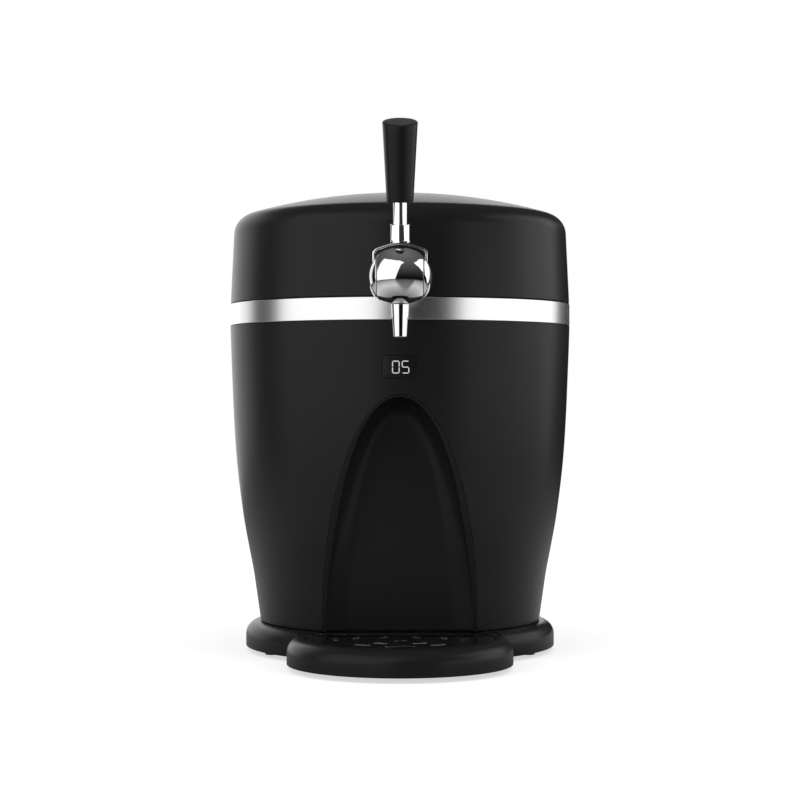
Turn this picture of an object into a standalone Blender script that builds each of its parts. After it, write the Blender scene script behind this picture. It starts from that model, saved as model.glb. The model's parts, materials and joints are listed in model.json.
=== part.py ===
"""Cooled dispenser for a five litre keg, with a tap on its swing-up lid and a pull-out drip tray.

Metres, +Z up. The origin is on the table under the middle of the keg well, and the front faces -Y.
"""

import math

import bmesh
import bpy
from mathutils import Euler, Matrix, Vector

MM = 0.001
DEGREE = math.pi / 180
FULL_TURN = 2 * math.pi

# Fits and finish
GAP = 0.3 * MM
SLACK = 1.0 * MM
FOAM_SLACK = 1.8 * MM
OVERRUN = 6 * MM
WELD = 0.01 * MM
BIG_STEPS = 40
FOAM_STEPS = BIG_STEPS // 2
MID_STEPS = 20
SMALL_STEPS = 12
BALL_STEPS = 28

# Keg and the well that it stands in
KEG_DIAMETER = 172 * MM
KEG_HEIGHT = 250 * MM
KEG_PLAY = 2.5 * MM
KEG_RIM_SHOWING = 2.5 * MM
WELL_WALL = 1.5 * MM
WELL_FLANGE = 5 * MM
WELL_FLOOR_FOAM = 4.6 * MM

# Barrel body
SHELL_WALL = 2.5 * MM
FOAM_THICKNESS = 44.4 * MM
BODY_TAPER = 24.2 * MM
BODY_SHAPE_SHARES = (
    (1, 1), (0.82, 0.942), (0.64, 0.86), (0.48, 0.725), (0.33, 0.535), (0.2, 0.31), (0, 0),
)

# Base
FOOT_CLEARANCE = 3.8 * MM
FOOT_RADIUS = 6 * MM
FOOT_THICKNESS = 5 * MM
FOOT_CHAMFER = 0.8 * MM
FOOT_INSET = 15 * MM
FRONT_FEET_ANGLE = 23.3 * DEGREE
TRAY_FEET_SPREAD = 30 * MM
TRAY_FEET_INSET = 50.7 * MM
PLINTH_HEIGHT = 19.8 * MM
PLINTH_LEDGE = 11.6 * MM
PLINTH_ROUNDING = 10.8 * MM
PLINTH_WALL = 3 * MM
PLINTH_HOLE_INSET = 6 * MM
BASE_PLATE_THICKNESS = 3 * MM
TONGUE_HALF_WIDTH = 50 * MM
TONGUE_CORNER = 30 * MM
TONGUE_END_MARGIN = 14 * MM

# Niche for the glass
NICHE_HALF_WIDTH = 59.5 * MM
NICHE_SPRING_HEIGHT = 35 * MM
NICHE_ARCH_RISE = 170.4 * MM
NICHE_WALL = 2.5 * MM
NICHE_WELL_SPACE = 0.5 * MM
NICHE_LEAN = 12 * MM
NICHE_CORNER = 12 * MM

# Display
DISPLAY_WIDTH = 25.8 * MM
DISPLAY_HEIGHT = 16.5 * MM
DISPLAY_CORNER = 1.2 * MM
DISPLAY_BELOW_BODY_TOP = 34.5 * MM
MODULE_THICKNESS = 3 * MM
MODULE_MARGIN = 1.6 * MM
BOARD_THICKNESS = 1.6 * MM
BOARD_MARGIN = 4.5 * MM

# Collar and trim band
BAND_HEIGHT = 17.2 * MM
BAND_THICKNESS = 0.8 * MM
COLLAR_WALL = 2.5 * MM
COLLAR_FLANGE = 3 * MM
COLLAR_DEPTH = 8 * MM

# Lid
LID_GAP = 0.6 * MM
LID_STEP_IN = 0.3 * MM
LID_SIDE_HEIGHT = 51.9 * MM
LID_TAPER = 2.1 * MM
DOME_HEIGHT = 36.5 * MM
DOME_POWER = 3.2
DOME_ANGLE_SHARES = (0, 0.05, 0.15, 0.33, 0.62, 1)
LINER_WALL = 2 * MM
LINER_RISE = 60.1 * MM
LINER_PLAY = 3 * MM
GASKET_WIDTH = 6 * MM
GASKET_OFFSET = 2 * MM

# Lid hinge
HINGE_HALF_WIDTH = 30 * MM
HINGE_EAR_WIDTH = 11.7 * MM
HINGE_PIN_RADIUS = 2 * MM
HINGE_EYE_WALL = 2.5 * MM
HINGE_SET_BACK = 6.1 * MM
HINGE_ARM_RISE = 27 * MM
HINGE_ARM_THICKNESS = 4.4 * MM
HINGE_PIN_END = 1 * MM

# Tap
TAP_REACH = 31.4 * MM
TAP_ABOVE_LID_EDGE = 12.4 * MM
BALL_RADIUS = 23.7 * MM
BALL_HALF_WIDTH = 17 * MM
BALL_TOP = 20.3 * MM
BALL_TOP_CURVE = 36 * MM
BALL_BOTTOM = 19.8 * MM
NECK_RADIUS = 9 * MM
TAP_FLANGE_RADIUS = 15 * MM
TAP_FLANGE_THICKNESS = 4.5 * MM
SHANK_RADIUS = 6 * MM
NUT_ACROSS = 16 * MM
NUT_THICKNESS = 7 * MM
SHANK_TAIL = 3 * MM
NOZZLE_LENGTH = 23.8 * MM
NOZZLE_TOP_RADIUS = 6.6 * MM
NOZZLE_TIP_RADIUS = 5.2 * MM
NOZZLE_BORE_RADIUS = 3.6 * MM
NOZZLE_BORE_DEPTH = 19 * MM

# Lever
LEVER_LEAN = 10 * DEGREE
HOOD_HALF_WIDTH = 19.85 * MM
HOOD_INNER_HEIGHT = 24.2 * MM
HOOD_THICKNESS = 1.5 * MM
HOOD_SHOULDER_DROP = 4.4 * MM
HOOD_CORNER = 2.4 * MM
HOOD_DEPTH = 24 * MM
HOOD_FOOT_HEIGHT = 5 * MM
PIVOT_RADIUS = 3 * MM
COLLAR_RADIUS = 7.25 * MM
COLLAR_TOP_HEIGHT = 38.3 * MM
ROD_RADIUS = 5.3 * MM
GRIP_START = 54.3 * MM
GRIP_LENGTH = 57.5 * MM
GRIP_FOOT_RADIUS = 9.8 * MM
GRIP_HEAD_RADIUS = 12.85 * MM
GRIP_SLANT = 11.6 * DEGREE
GRIP_SOCKET_DEPTH = 20 * MM
GRIP_EDGE = 0.8 * MM

# Keg coupler and beer line under the lid
COUPLER_RADIUS = 14 * MM
COUPLER_FOOT_RADIUS = 21 * MM
COUPLER_FOOT_HEIGHT = 5 * MM
COUPLER_HEIGHT = 31 * MM
COUPLER_ABOVE_RIM = 3.5 * MM
COUPLER_PORT_RADIUS = 5 * MM
COUPLER_PORT_LENGTH = 9 * MM
COUPLER_PORT_HEIGHT = 22 * MM
SEAL_INNER_RADIUS = 9 * MM
SEAL_WIDTH = 4 * MM
SEAL_THICKNESS = 1.7 * MM
POST_RADIUS = 10 * MM
POST_FLANGE_RADIUS = 18 * MM
POST_FLANGE_THICKNESS = 3 * MM
HOSE_RADIUS = 4 * MM
HOSE_BULGE = 20 * MM
HOSE_END_RUN = 9 * MM
HOSE_POINTS = 22
CLIP_THICKNESS = 1.2 * MM
CLIP_WIDTH = 5 * MM

# Drip tray
TRAY_RADIUS = 84.7 * MM
TRAY_STEP_OUT = 4 * MM
TRAY_ROUNDING = 11.2 * MM
TRAY_LIP_WIDTH = 2.5 * MM
TRAY_LIP_DROP = 1 * MM
TRAY_WALL = 2.5 * MM
TRAY_LEDGE = 5 * MM
TRAY_TUCK = 2 * MM
TRAY_PLAY = 0.5 * MM
TRAY_REAR_RIM = 9.3 * MM
TRAY_GRID_DROP = 1.2 * MM
TRAY_RIM_STEPS = 3

# Drip grid
GRID_PLAY = 0.6 * MM
GRID_THICKNESS = 3 * MM
SLOT_LENGTH = 14 * MM
SLOT_WIDTH = 4 * MM
OUTER_SLOT_RING = 48.5 * MM
INNER_SLOT_RING = 33 * MM
CENTRE_SLOT_RING = 14 * MM
OUTER_SLOT_ANGLES = (-83, -34.5, 0, 34.5, 83)
INNER_SLOT_ANGLES = (-98, -26, 26, 98)
CENTRE_SLOT_ANGLES = (0, 120, 240)
SHORT_SLOT_SHARE = 0.7

# Rear housing
HOUSING_HALF_WIDTH = 85 * MM
HOUSING_CORNER = 25 * MM
HOUSING_TOP_ROUNDING = 10 * MM
HOUSING_BELOW_BODY_TOP = 10 * MM
HOUSING_WALL = 2.5 * MM
HOUSING_LEDGE = 12 * MM
VENT_WIDTH = 90 * MM
VENT_SLOT = 4 * MM
VENT_PITCH = 11 * MM
VENT_COUNT = 8
SIDE_VENT_LENGTH = 34 * MM
SIDE_VENT_COUNT = 5
SIDE_VENT_CENTRE = 14 * MM

# Cooling unit, stacked from the well to the rear
COOLER_CENTRE_HEIGHT = 160 * MM
COLD_BLOCK_SIZE = 50 * MM
COLD_BLOCK_THICKNESS = 14 * MM
COOLING_MODULE_SIZE = 40 * MM
COOLING_MODULE_THICKNESS = 3.8 * MM
SINK_SIZE = 100 * MM
SINK_BASE = 6 * MM
SINK_FIN_LENGTH = 24 * MM
SINK_FIN_COUNT = 11
SINK_FIN_THICKNESS = 2 * MM
SINK_OPENING_MARGIN = 3 * MM
FAN_SIZE = 92 * MM
FAN_DEPTH = 25 * MM
FAN_CORNER = 5 * MM
FAN_WALL = 3 * MM
FAN_HUB_RADIUS = 18 * MM
FAN_MOTOR_THICKNESS = 3 * MM
FAN_STRUT_WIDTH = 5 * MM
FAN_TIP_PLAY = 2 * MM
FAN_BLADE_COUNT = 7
FAN_BLADE_CHORD = 19 * MM
FAN_BLADE_THICKNESS = 1.6 * MM
FAN_BLADE_PITCH = 38 * DEGREE
FAN_HUB_LENGTH = 18 * MM

# Power parts in the foot of the rear housing
POWER_BOARD_WIDTH = 96 * MM
POWER_BOARD_DEPTH = 34 * MM
POWER_BOARD_START = 138 * MM
STANDOFF_HEIGHT = 6 * MM
STANDOFF_RADIUS = 3 * MM
STANDOFF_INSET = 6 * MM
TRANSFORMER_SIZE = 30 * MM
TRANSFORMER_HEIGHT = 20 * MM
CAPACITOR_RADIUS = 7 * MM
CAPACITOR_HEIGHT = 16 * MM
PORT_HEIGHT_ABOVE_PLINTH = 38.4 * MM
PORT_SPREAD = 42 * MM
PORT_WIDTH = 27 * MM
PORT_TALL = 20 * MM
PORT_BEZEL_MARGIN = 3 * MM
PORT_BEZEL_THICKNESS = 2 * MM
INLET_DEPTH = 18 * MM
INLET_RECESS_WIDTH = 22 * MM
INLET_RECESS_HEIGHT = 15 * MM
INLET_RECESS_DEPTH = 14 * MM
INLET_PIN_PITCH = 7 * MM
INLET_PIN_RISE = 4 * MM
INLET_PIN_WIDTH = 2 * MM
INLET_PIN_HEIGHT = 4 * MM
INLET_PIN_SET_BACK = 3 * MM
SWITCH_DEPTH = 14 * MM
ROCKER_HALF_LENGTH = 8.6 * MM
ROCKER_HALF_WIDTH = 9.5 * MM
ROCKER_CENTRE_FACE = 4.2 * MM
ROCKER_END_FACE = 6.2 * MM
ROCKER_FOOT = 2 * MM
ROCKER_PIVOT_DEPTH = 5.8 * MM
ROCKER_TILT = 8 * DEGREE
ROCKER_SWEEP_ROOM = 1.4 * MM
HOUSING_SCREW_RADIUS = 3.5 * MM
HOUSING_SCREW_HEAD = 2 * MM
HOUSING_SCREW_SHANK = 1.5 * MM
HOUSING_SCREW_LENGTH = 10 * MM
HOUSING_SCREW_LOW = 14.4 * MM
HOUSING_SCREW_BELOW_ROOF = 24 * MM

# Heights worked out from the sizes above
plinth_bottom = FOOT_CLEARANCE
plinth_top = plinth_bottom + PLINTH_HEIGHT
body_bottom = plinth_top + GAP
well_bottom = body_bottom + WELL_FLOOR_FOAM
well_floor = well_bottom + WELL_WALL
keg_top = well_floor + KEG_HEIGHT
collar_top = keg_top - KEG_RIM_SHOWING
band_bottom = collar_top - BAND_HEIGHT + GAP
body_top = band_bottom - 2 * GAP
lid_bottom = collar_top + LID_GAP
dome_base = lid_bottom + LID_SIDE_HEIGHT
well_rim_top = collar_top + GAP + WELL_WALL
liner_bottom = well_rim_top + GAP
liner_ceiling = liner_bottom + LINER_RISE - LINER_WALL
tap_height = lid_bottom + TAP_ABOVE_LID_EDGE
display_height = body_top - DISPLAY_BELOW_BODY_TOP
housing_top = body_top - HOUSING_BELOW_BODY_TOP
port_height = plinth_top + PORT_HEIGHT_ABOVE_PLINTH
base_plate_top = plinth_bottom + BASE_PLATE_THICKNESS

# Radii and depths worked out from the sizes above
well_radius = KEG_DIAMETER / 2 + KEG_PLAY
well_outer = well_radius + WELL_WALL
band_radius = well_outer + FOAM_THICKNESS + SHELL_WALL
foot_of_body = band_radius - BODY_TAPER
plinth_radius = foot_of_body + PLINTH_LEDGE
lid_radius = band_radius - LID_STEP_IN
dome_radius = lid_radius - LID_TAPER
collar_radius = band_radius - BAND_THICKNESS - GAP
liner_radius = well_outer + WELL_FLANGE + LINER_PLAY
niche_back = -(well_outer + NICHE_WELL_SPACE + NICHE_WALL)
tray_centre = -(plinth_radius + TRAY_STEP_OUT)
tray_front = tray_centre - TRAY_RADIUS
tray_top_radius = TRAY_RADIUS - TRAY_ROUNDING
tray_lip_radius = tray_top_radius - TRAY_LIP_WIDTH
tray_rear = niche_back + TRAY_TUCK
tray_top = plinth_top
tray_floor_bottom = base_plate_top + GAP
grid_top = tray_top - TRAY_GRID_DROP
grid_rear = tray_rear - TRAY_REAR_RIM - GAP
plinth_rear = -tray_front
housing_back = plinth_rear - HOUSING_LEDGE
tap_centre = Vector((0, -(lid_radius + TAP_REACH), tap_height))
hinge_eye = HINGE_PIN_RADIUS + HINGE_EYE_WALL
hinge_axis = Vector((0, band_radius + HINGE_SET_BACK, lid_bottom + GAP))

# Collections: the model, and the shapes that only cut it
for old in list(bpy.data.objects):
    bpy.data.objects.remove(old, do_unlink=True)
scene = bpy.context.scene
parts = bpy.data.collections.new("keg_beer_dispenser")
cutters = bpy.data.collections.new("cutters")
scene.collection.children.link(parts)
scene.collection.children.link(cutters)


def material(name, colour, roughness, metallic=0.0, **more):
    made = bpy.data.materials.new(name)
    made.use_nodes = True
    shader = made.node_tree.nodes["Principled BSDF"]
    shader.inputs["Base Color"].default_value = (*colour, 1)
    shader.inputs["Roughness"].default_value = roughness
    shader.inputs["Metallic"].default_value = metallic
    for socket, value in more.items():
        shader.inputs[socket.replace("_", " ")].default_value = value
    made.diffuse_color = (*colour, 1)
    return made


black = material("black_housing", (0.016, 0.016, 0.017), 0.42)
lid_black = material("lid_shell", (0.016, 0.016, 0.017), 0.4)
gloss_black = material("gloss_black", (0.008, 0.008, 0.009), 0.06)
lens_black = material("display_lens", (0.006, 0.006, 0.007), 0.04)
satin_steel = material("satin_band", (0.72, 0.72, 0.73), 0.24, 1)
chrome = material("chrome", (0.85, 0.86, 0.87), 0.05, 1)
grip_black = material("grip_black", (0.018, 0.018, 0.019), 0.38)
rubber = material("rubber", (0.02, 0.02, 0.02), 0.8)
aluminium = material("aluminium", (0.7, 0.71, 0.72), 0.35, 1)
foam = material("foam", (0.85, 0.82, 0.72), 0.9)
liner_grey = material("liner_grey", (0.45, 0.46, 0.47), 0.5)
steel = material("zinc_steel", (0.6, 0.6, 0.6), 0.3, 1)
board_green = material("circuit_board", (0.02, 0.16, 0.07), 0.45)
ceramic = material("cooling_ceramic", (0.85, 0.84, 0.8), 0.5)
fan_black = material("fan_black", (0.03, 0.03, 0.03), 0.5)
hose_clear = material("beer_line", (0.82, 0.84, 0.84), 0.25)


def keep(obj, look=None):
    """Puts an object with the parts where it has a material, else with the cutters."""
    for holder in list(obj.users_collection):
        holder.objects.unlink(obj)
    if look is None:
        cutters.objects.link(obj)
        obj.hide_render = True
        obj.display_type = "WIRE"
        return obj
    parts.objects.link(obj)
    obj.data.materials.clear()
    obj.data.materials.append(look)
    return obj


def turned(name, profile, look=None, steps=BIG_STEPS, ring=False, at=None, turn=None):
    """Profile points (radius, height) swept round the Z axis; a ring's profile closes on itself."""
    mesh = bpy.data.meshes.new(name)
    count = len(profile)
    edges = [(i, i + 1) for i in range(count - 1)]
    if ring:
        edges.append((count - 1, 0))
    mesh.from_pydata([(radius, 0, height) for radius, height in profile], edges, [])
    obj = bpy.data.objects.new(name, mesh)
    if at is not None:
        obj.location = at
    if turn is not None:
        obj.rotation_euler = turn
    sweep = obj.modifiers.new("Sweep", "SCREW")
    sweep.steps = steps
    sweep.render_steps = steps
    sweep.use_merge_vertices = True
    sweep.merge_threshold = WELD
    sweep.use_smooth_shade = True
    return keep(obj, look)


def plate(name, outlines, low, high, look=None, plane="XY"):
    """Flat outlines with a thickness: XY stands on Z, XZ runs along Y and YZ runs along X."""
    curve = bpy.data.curves.new(name, "CURVE")
    curve.dimensions = "2D"
    curve.fill_mode = "BOTH"
    curve.extrude = (high - low) / 2
    for outline in outlines:
        spline = curve.splines.new("POLY")
        spline.points.add(len(outline) - 1)
        for point, (across, up) in zip(spline.points, outline):
            point.co = (across, up, 0, 1)
        spline.use_cyclic_u = True
    guide = bpy.data.objects.new(name, curve)
    middle = (low + high) / 2
    if plane == "XY":
        guide.location = (0, 0, middle)
    elif plane == "XZ":
        guide.location = (0, middle, 0)
        guide.rotation_euler = (math.pi / 2, 0, 0)
    else:
        guide.location = (middle, 0, 0)
        guide.rotation_euler = (math.pi / 2, 0, math.pi / 2)
    return keep(meshed(guide), look)


def meshed(guide):
    """The curve object's shape as a mesh object of the same name, with its caps welded on."""
    scene.collection.objects.link(guide)
    bpy.context.view_layer.update()
    name = guide.name
    graph = bpy.context.evaluated_depsgraph_get()
    mesh = bpy.data.meshes.new_from_object(guide.evaluated_get(graph))
    shape = bmesh.new()
    shape.from_mesh(mesh)
    bmesh.ops.remove_doubles(shape, verts=shape.verts, dist=WELD)
    bmesh.ops.dissolve_limit(shape, angle_limit=DEGREE / 2, verts=shape.verts, edges=shape.edges)
    bmesh.ops.recalc_face_normals(shape, faces=shape.faces)
    shape.to_mesh(mesh)
    shape.free()
    where = guide.matrix_world.copy()
    bpy.data.objects.remove(guide, do_unlink=True)
    obj = bpy.data.objects.new(name, mesh)
    scene.collection.objects.link(obj)
    obj.matrix_world = where
    return obj


def block(name, low, high, look=None):
    """A box from its low corner to its high one."""
    low, high = Vector(low), Vector(high)
    mesh = bpy.data.meshes.new(name)
    shape = bmesh.new()
    size = Matrix.Diagonal((*(high - low), 1))
    bmesh.ops.create_cube(shape, size=1, matrix=size)
    shape.to_mesh(mesh)
    shape.free()
    obj = bpy.data.objects.new(name, mesh)
    obj.location = (low + high) / 2
    return keep(obj, look)


def rod(name, radius, start, end, look=None, steps=MID_STEPS, end_radius=None):
    """A round bar, or a cone, between two points."""
    start, end = Vector(start), Vector(end)
    mesh = bpy.data.meshes.new(name)
    shape = bmesh.new()
    bmesh.ops.create_cone(
        shape, cap_ends=True, segments=steps, radius1=radius,
        radius2=radius if end_radius is None else end_radius, depth=(end - start).length,
    )
    shape.to_mesh(mesh)
    shape.free()
    mesh.shade_smooth()
    mesh.set_sharp_from_angle(angle=40 * DEGREE)
    obj = bpy.data.objects.new(name, mesh)
    obj.location = (start + end) / 2
    obj.rotation_euler = Vector((0, 0, 1)).rotation_difference(end - start).to_euler()
    return keep(obj, look)


def boolean(target, other, operation="DIFFERENCE"):
    step = target.modifiers.new(operation.title() + " " + other.name, "BOOLEAN")
    step.operation = operation
    step.object = other
    step.solver = "EXACT"


def round_rim(obj, picked, width, steps=2):
    """Rounds the edges whose two ends are both picked, given as world points."""
    mesh = obj.data
    weights = mesh.attributes.new("bevel_weight_edge", "FLOAT", "EDGE")
    where = obj.matrix_basis
    chosen = [picked(where @ vertex.co) for vertex in mesh.vertices]
    for edge in mesh.edges:
        first, second = edge.vertices
        weights.data[edge.index].value = float(chosen[first] and chosen[second])
    bevel = obj.modifiers.new("Rounding", "BEVEL")
    bevel.limit_method = "WEIGHT"
    bevel.width = width
    bevel.segments = steps


def hull(circles, steps=BIG_STEPS):
    """The outline of a band stretched round circles (x, y, radius)."""
    outline = []
    for step in range(steps):
        angle = FULL_TURN * step / steps
        along = Vector((math.cos(angle), math.sin(angle)))
        x, y, radius = max(circles, key=lambda c: c[0] * along.x + c[1] * along.y + c[2])
        outline.append((x + radius * along.x, y + radius * along.y))
    return outline


def rounded_box(width, height, radius, centre=(0, 0), steps=SMALL_STEPS):
    across, up = width / 2 - radius, height / 2 - radius
    outline = []
    for step in range(steps):
        angle = FULL_TURN * (step + 0.5) / steps
        side_x, side_y = math.cos(angle), math.sin(angle)
        x = centre[0] + math.copysign(across, side_x)
        y = centre[1] + math.copysign(up, side_y)
        outline.append((x + radius * side_x, y + radius * side_y))
    return outline


def clipped_circle(centre, radius, rear, steps=BIG_STEPS):
    """A circle centred at (0, centre), cut straight across at y = rear."""
    start = math.acos((rear - centre) / radius)
    outline = []
    for step in range(steps + 1):
        angle = start + (FULL_TURN - 2 * start) * step / steps
        outline.append((-radius * math.sin(angle), centre + radius * math.cos(angle)))
    return outline


def body_profile(grow, low=body_bottom, high=body_top):
    points = []
    for height_share, growth_share in BODY_SHAPE_SHARES:
        radius = foot_of_body + growth_share * BODY_TAPER + grow
        points.append((radius, low + height_share * (high - low)))
    return points


def body_form(name, grow):
    """The barrel as one solid, grown or shrunk."""
    rise = OVERRUN if grow > 0 else 0
    skin = body_profile(grow)
    top = skin[0][1] + rise
    return turned(name, [(0, top), (skin[0][0], top)] + skin[1:] + [(0, skin[-1][1])])


def lid_profile(inset, low):
    """The lid's skin from the apex down to its lower edge, shrunk by the inset."""
    radius, height = dome_radius - inset, DOME_HEIGHT - inset
    points = []
    for share in reversed(DOME_ANGLE_SHARES):
        angle = share * math.pi / 2
        rise = height * math.sin(angle) ** (2 / DOME_POWER)
        points.append((radius * math.cos(angle) if share < 1 else 0, dome_base + rise))
    return points + [(lid_radius - inset, low)]


def pivot(name, at, lean=None):
    empty = bpy.data.objects.new(name, None)
    parts.objects.link(empty)
    empty.location = at
    if lean is not None:
        empty.rotation_euler = lean
    return empty


def hang(obj, carrier):
    """Parents a piece that stands in its place to the empty on its joint's axis."""
    bpy.context.view_layer.update()
    obj.parent = carrier
    obj.matrix_parent_inverse = carrier.matrix_world.inverted()


# Base: the moulded plinth runs back under the rear housing, and the tray nests in its front
housing_corner_x = HOUSING_HALF_WIDTH - HOUSING_CORNER
housing_corner_y = housing_back - HOUSING_CORNER


def plinth_block(name, inset, low, high, rounding, look=None):
    corner = HOUSING_CORNER + HOUSING_LEDGE - inset
    outline = hull([
        (0, 0, plinth_radius - inset),
        (housing_corner_x, housing_corner_y, corner),
        (-housing_corner_x, housing_corner_y, corner),
    ])
    made = plate(name, [outline], low, high, look)
    if rounding:
        round_rim(made, lambda point: point.z > (low + high) / 2, rounding, 3 if look else 2)
    return made


pocket_radius = TRAY_RADIUS + TRAY_PLAY
pocket_rear = tray_rear + TRAY_PLAY
plinth = plinth_block("base_plinth", 0, plinth_bottom, plinth_top, PLINTH_ROUNDING, black)
plinth_void = plinth_block(
    "plinth_void", PLINTH_WALL, plinth_bottom - OVERRUN, plinth_top - PLINTH_WALL,
    PLINTH_ROUNDING - PLINTH_WALL,
)
pocket_skin = plate(
    "pocket_skin",
    [clipped_circle(tray_centre, pocket_radius + TRAY_WALL, pocket_rear + TRAY_WALL)],
    plinth_bottom - 2 * OVERRUN, plinth_top + OVERRUN,
)
boolean(plinth_void, pocket_skin)
boolean(plinth, plinth_void)
pocket = plate(
    "tray_pocket", [clipped_circle(tray_centre, pocket_radius, pocket_rear)],
    plinth_bottom - OVERRUN, plinth_top + OVERRUN,
)
boolean(plinth, pocket)
plug_radius = -(pocket_rear + TRAY_WALL) - GAP - PLINTH_HOLE_INSET
deck_hole = rod(
    "deck_hole", plug_radius + SLACK, (0, 0, plinth_bottom - OVERRUN), (0, 0, plinth_top + OVERRUN),
    steps=BIG_STEPS,
)
boolean(plinth, deck_hole)

base_plate = plinth_block(
    "base_plate", PLINTH_WALL + GAP, plinth_bottom, base_plate_top, 0, black,
)
plate_cut = plate(
    "plate_cut",
    [clipped_circle(tray_centre, pocket_radius + TRAY_WALL + GAP, pocket_rear + TRAY_WALL + GAP)],
    plinth_bottom - OVERRUN, plinth_top,
)
boolean(base_plate, plate_cut)
tongue_end = tray_front + TONGUE_END_MARGIN + TRAY_WALL
wall_slot = block(
    "wall_slot", (-TONGUE_HALF_WIDTH - GAP, tray_rear - OVERRUN, plinth_bottom - OVERRUN),
    (TONGUE_HALF_WIDTH + GAP, pocket_rear + TRAY_WALL + OVERRUN, base_plate_top + GAP),
)
boolean(plinth, wall_slot)
tongue_rear = pocket_rear + TRAY_WALL + 2 * OVERRUN
tongue_side = TONGUE_HALF_WIDTH - TONGUE_CORNER
tongue = plate(
    "tongue",
    [hull([(sign * tongue_side, end, TONGUE_CORNER)
           for sign in (-1, 1) for end in (tongue_end + TONGUE_CORNER, tongue_rear + TONGUE_CORNER)])],
    plinth_bottom, base_plate_top,
)
boolean(base_plate, tongue, "UNION")

front_ring = plinth_radius - FOOT_INSET
foot_places = {
    "front": (front_ring * math.cos(FRONT_FEET_ANGLE), -front_ring * math.sin(FRONT_FEET_ANGLE)),
    "rear": (housing_corner_x, housing_corner_y),
    "tray": (TRAY_FEET_SPREAD, tray_front + TRAY_FEET_INSET),
}
for place, (foot_x, foot_y) in foot_places.items():
    for side, sign in (("left", -1), ("right", 1)):
        spot = (sign * foot_x, foot_y, 0)
        turned(
            f"foot_{place}_{side}",
            [(0, FOOT_THICKNESS), (FOOT_RADIUS, FOOT_THICKNESS), (FOOT_RADIUS, FOOT_CHAMFER),
             (FOOT_RADIUS - FOOT_CHAMFER, 0), (0, 0)],
            rubber, SMALL_STEPS, at=spot,
        )
        recess = rod(
            f"foot_recess_{place}_{side}", FOOT_RADIUS + GAP,
            (spot[0], spot[1], -OVERRUN), (spot[0], spot[1], FOOT_THICKNESS + GAP), steps=SMALL_STEPS,
        )
        boolean(base_plate, recess)
        if place == "front":
            boolean(plinth, recess)

# Niche: an arched alcove whose back leans forward as it rises and clears the keg well


def niche_back_at(height):
    rise = (height - plinth_top) / (NICHE_SPRING_HEIGHT + NICHE_ARCH_RISE - plinth_top)
    return niche_back - NICHE_LEAN * rise


def niche_block(name, grow, low, look=None):
    across, rise = NICHE_HALF_WIDTH + grow, NICHE_ARCH_RISE + grow
    outline = [(-across, low), (across, low)]
    for step in range(MID_STEPS + 1):
        angle = math.pi * step / MID_STEPS
        outline.append((across * math.cos(angle), NICHE_SPRING_HEIGHT + rise * math.sin(angle)))
    front = -(band_radius + OVERRUN)
    made = plate(name, [outline], front, niche_back, look, "XZ")
    turn = made.matrix_basis.copy()
    back_side = turn.inverted()
    for vertex in made.data.vertices:
        point = turn @ vertex.co
        if point.y > (front + niche_back) / 2:
            point.y = niche_back_at(point.z) + grow
            vertex.co = back_side @ point
    floor = low + WELD
    round_rim(
        made, lambda point: point.y > (front + niche_back) / 2 and point.z > floor,
        NICHE_CORNER + grow, 2,
    )
    for edge, weight in zip(made.data.edges, made.data.attributes["bevel_weight_edge"].data):
        ends = [turn @ made.data.vertices[i].co for i in edge.vertices]
        if min(end.z for end in ends) <= floor and max(end.z for end in ends) > floor:
            weight.value = float(min(end.y for end in ends) > (front + niche_back) / 2)
    return made


barrel = body_form("barrel_form", 0)
niche_panel = niche_block("niche_panel", NICHE_WALL, plinth_bottom, black)
niche_hollow = niche_block("niche_hollow", 0, plinth_bottom - OVERRUN)
niche_opening = niche_block("niche_opening", NICHE_WALL + GAP, plinth_bottom - OVERRUN)
boolean(niche_panel, niche_hollow)
boolean(niche_panel, barrel, "INTERSECT")

# Body shell with its openings for the niche, the display and the heat sink
outer, inner = body_profile(0), body_profile(-SHELL_WALL)
body_shell = turned("body_shell", outer + list(reversed(inner)), black, ring=True)
boolean(body_shell, niche_opening)


def display_outline(grow):
    return rounded_box(
        DISPLAY_WIDTH + 2 * grow, DISPLAY_HEIGHT + 2 * grow, DISPLAY_CORNER + grow, (0, display_height),
    )


display_skin = -(band_radius - SHELL_WALL)
display_window = plate(
    "display_window", [display_outline(GAP)], display_skin - 2 * OVERRUN, display_skin + 2 * OVERRUN,
    plane="XZ",
)
boolean(body_shell, display_window)
lens_inner = display_skin + SLACK
lens = plate(
    "display_lens", [display_outline(0)], display_skin - 2 * OVERRUN, lens_inner, lens_black, "XZ",
)
boolean(lens, barrel, "INTERSECT")
module_front = lens_inner + GAP
board_front = module_front + MODULE_THICKNESS
half_module = (DISPLAY_WIDTH / 2 - MODULE_MARGIN, DISPLAY_HEIGHT / 2 - MODULE_MARGIN)
half_board = (DISPLAY_WIDTH / 2 + BOARD_MARGIN, DISPLAY_HEIGHT / 2 + BOARD_MARGIN)
board = block(
    "display_board", (-half_board[0], board_front, display_height - half_board[1]),
    (half_board[0], board_front + BOARD_THICKNESS, display_height + half_board[1]), board_green,
)
module = block(
    "display_module", (-half_module[0], module_front, display_height - half_module[1]),
    (half_module[0], board_front + BOARD_THICKNESS / 2, display_height + half_module[1]),
)
boolean(board, module, "UNION")

sink_half = SINK_SIZE / 2
sink_room = sink_half + SINK_OPENING_MARGIN
sink_opening = block(
    "sink_opening", (-sink_room, well_outer, COOLER_CENTRE_HEIGHT - sink_room),
    (sink_room, band_radius + OVERRUN, COOLER_CENTRE_HEIGHT + sink_room),
)
boolean(body_shell, sink_opening)

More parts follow.
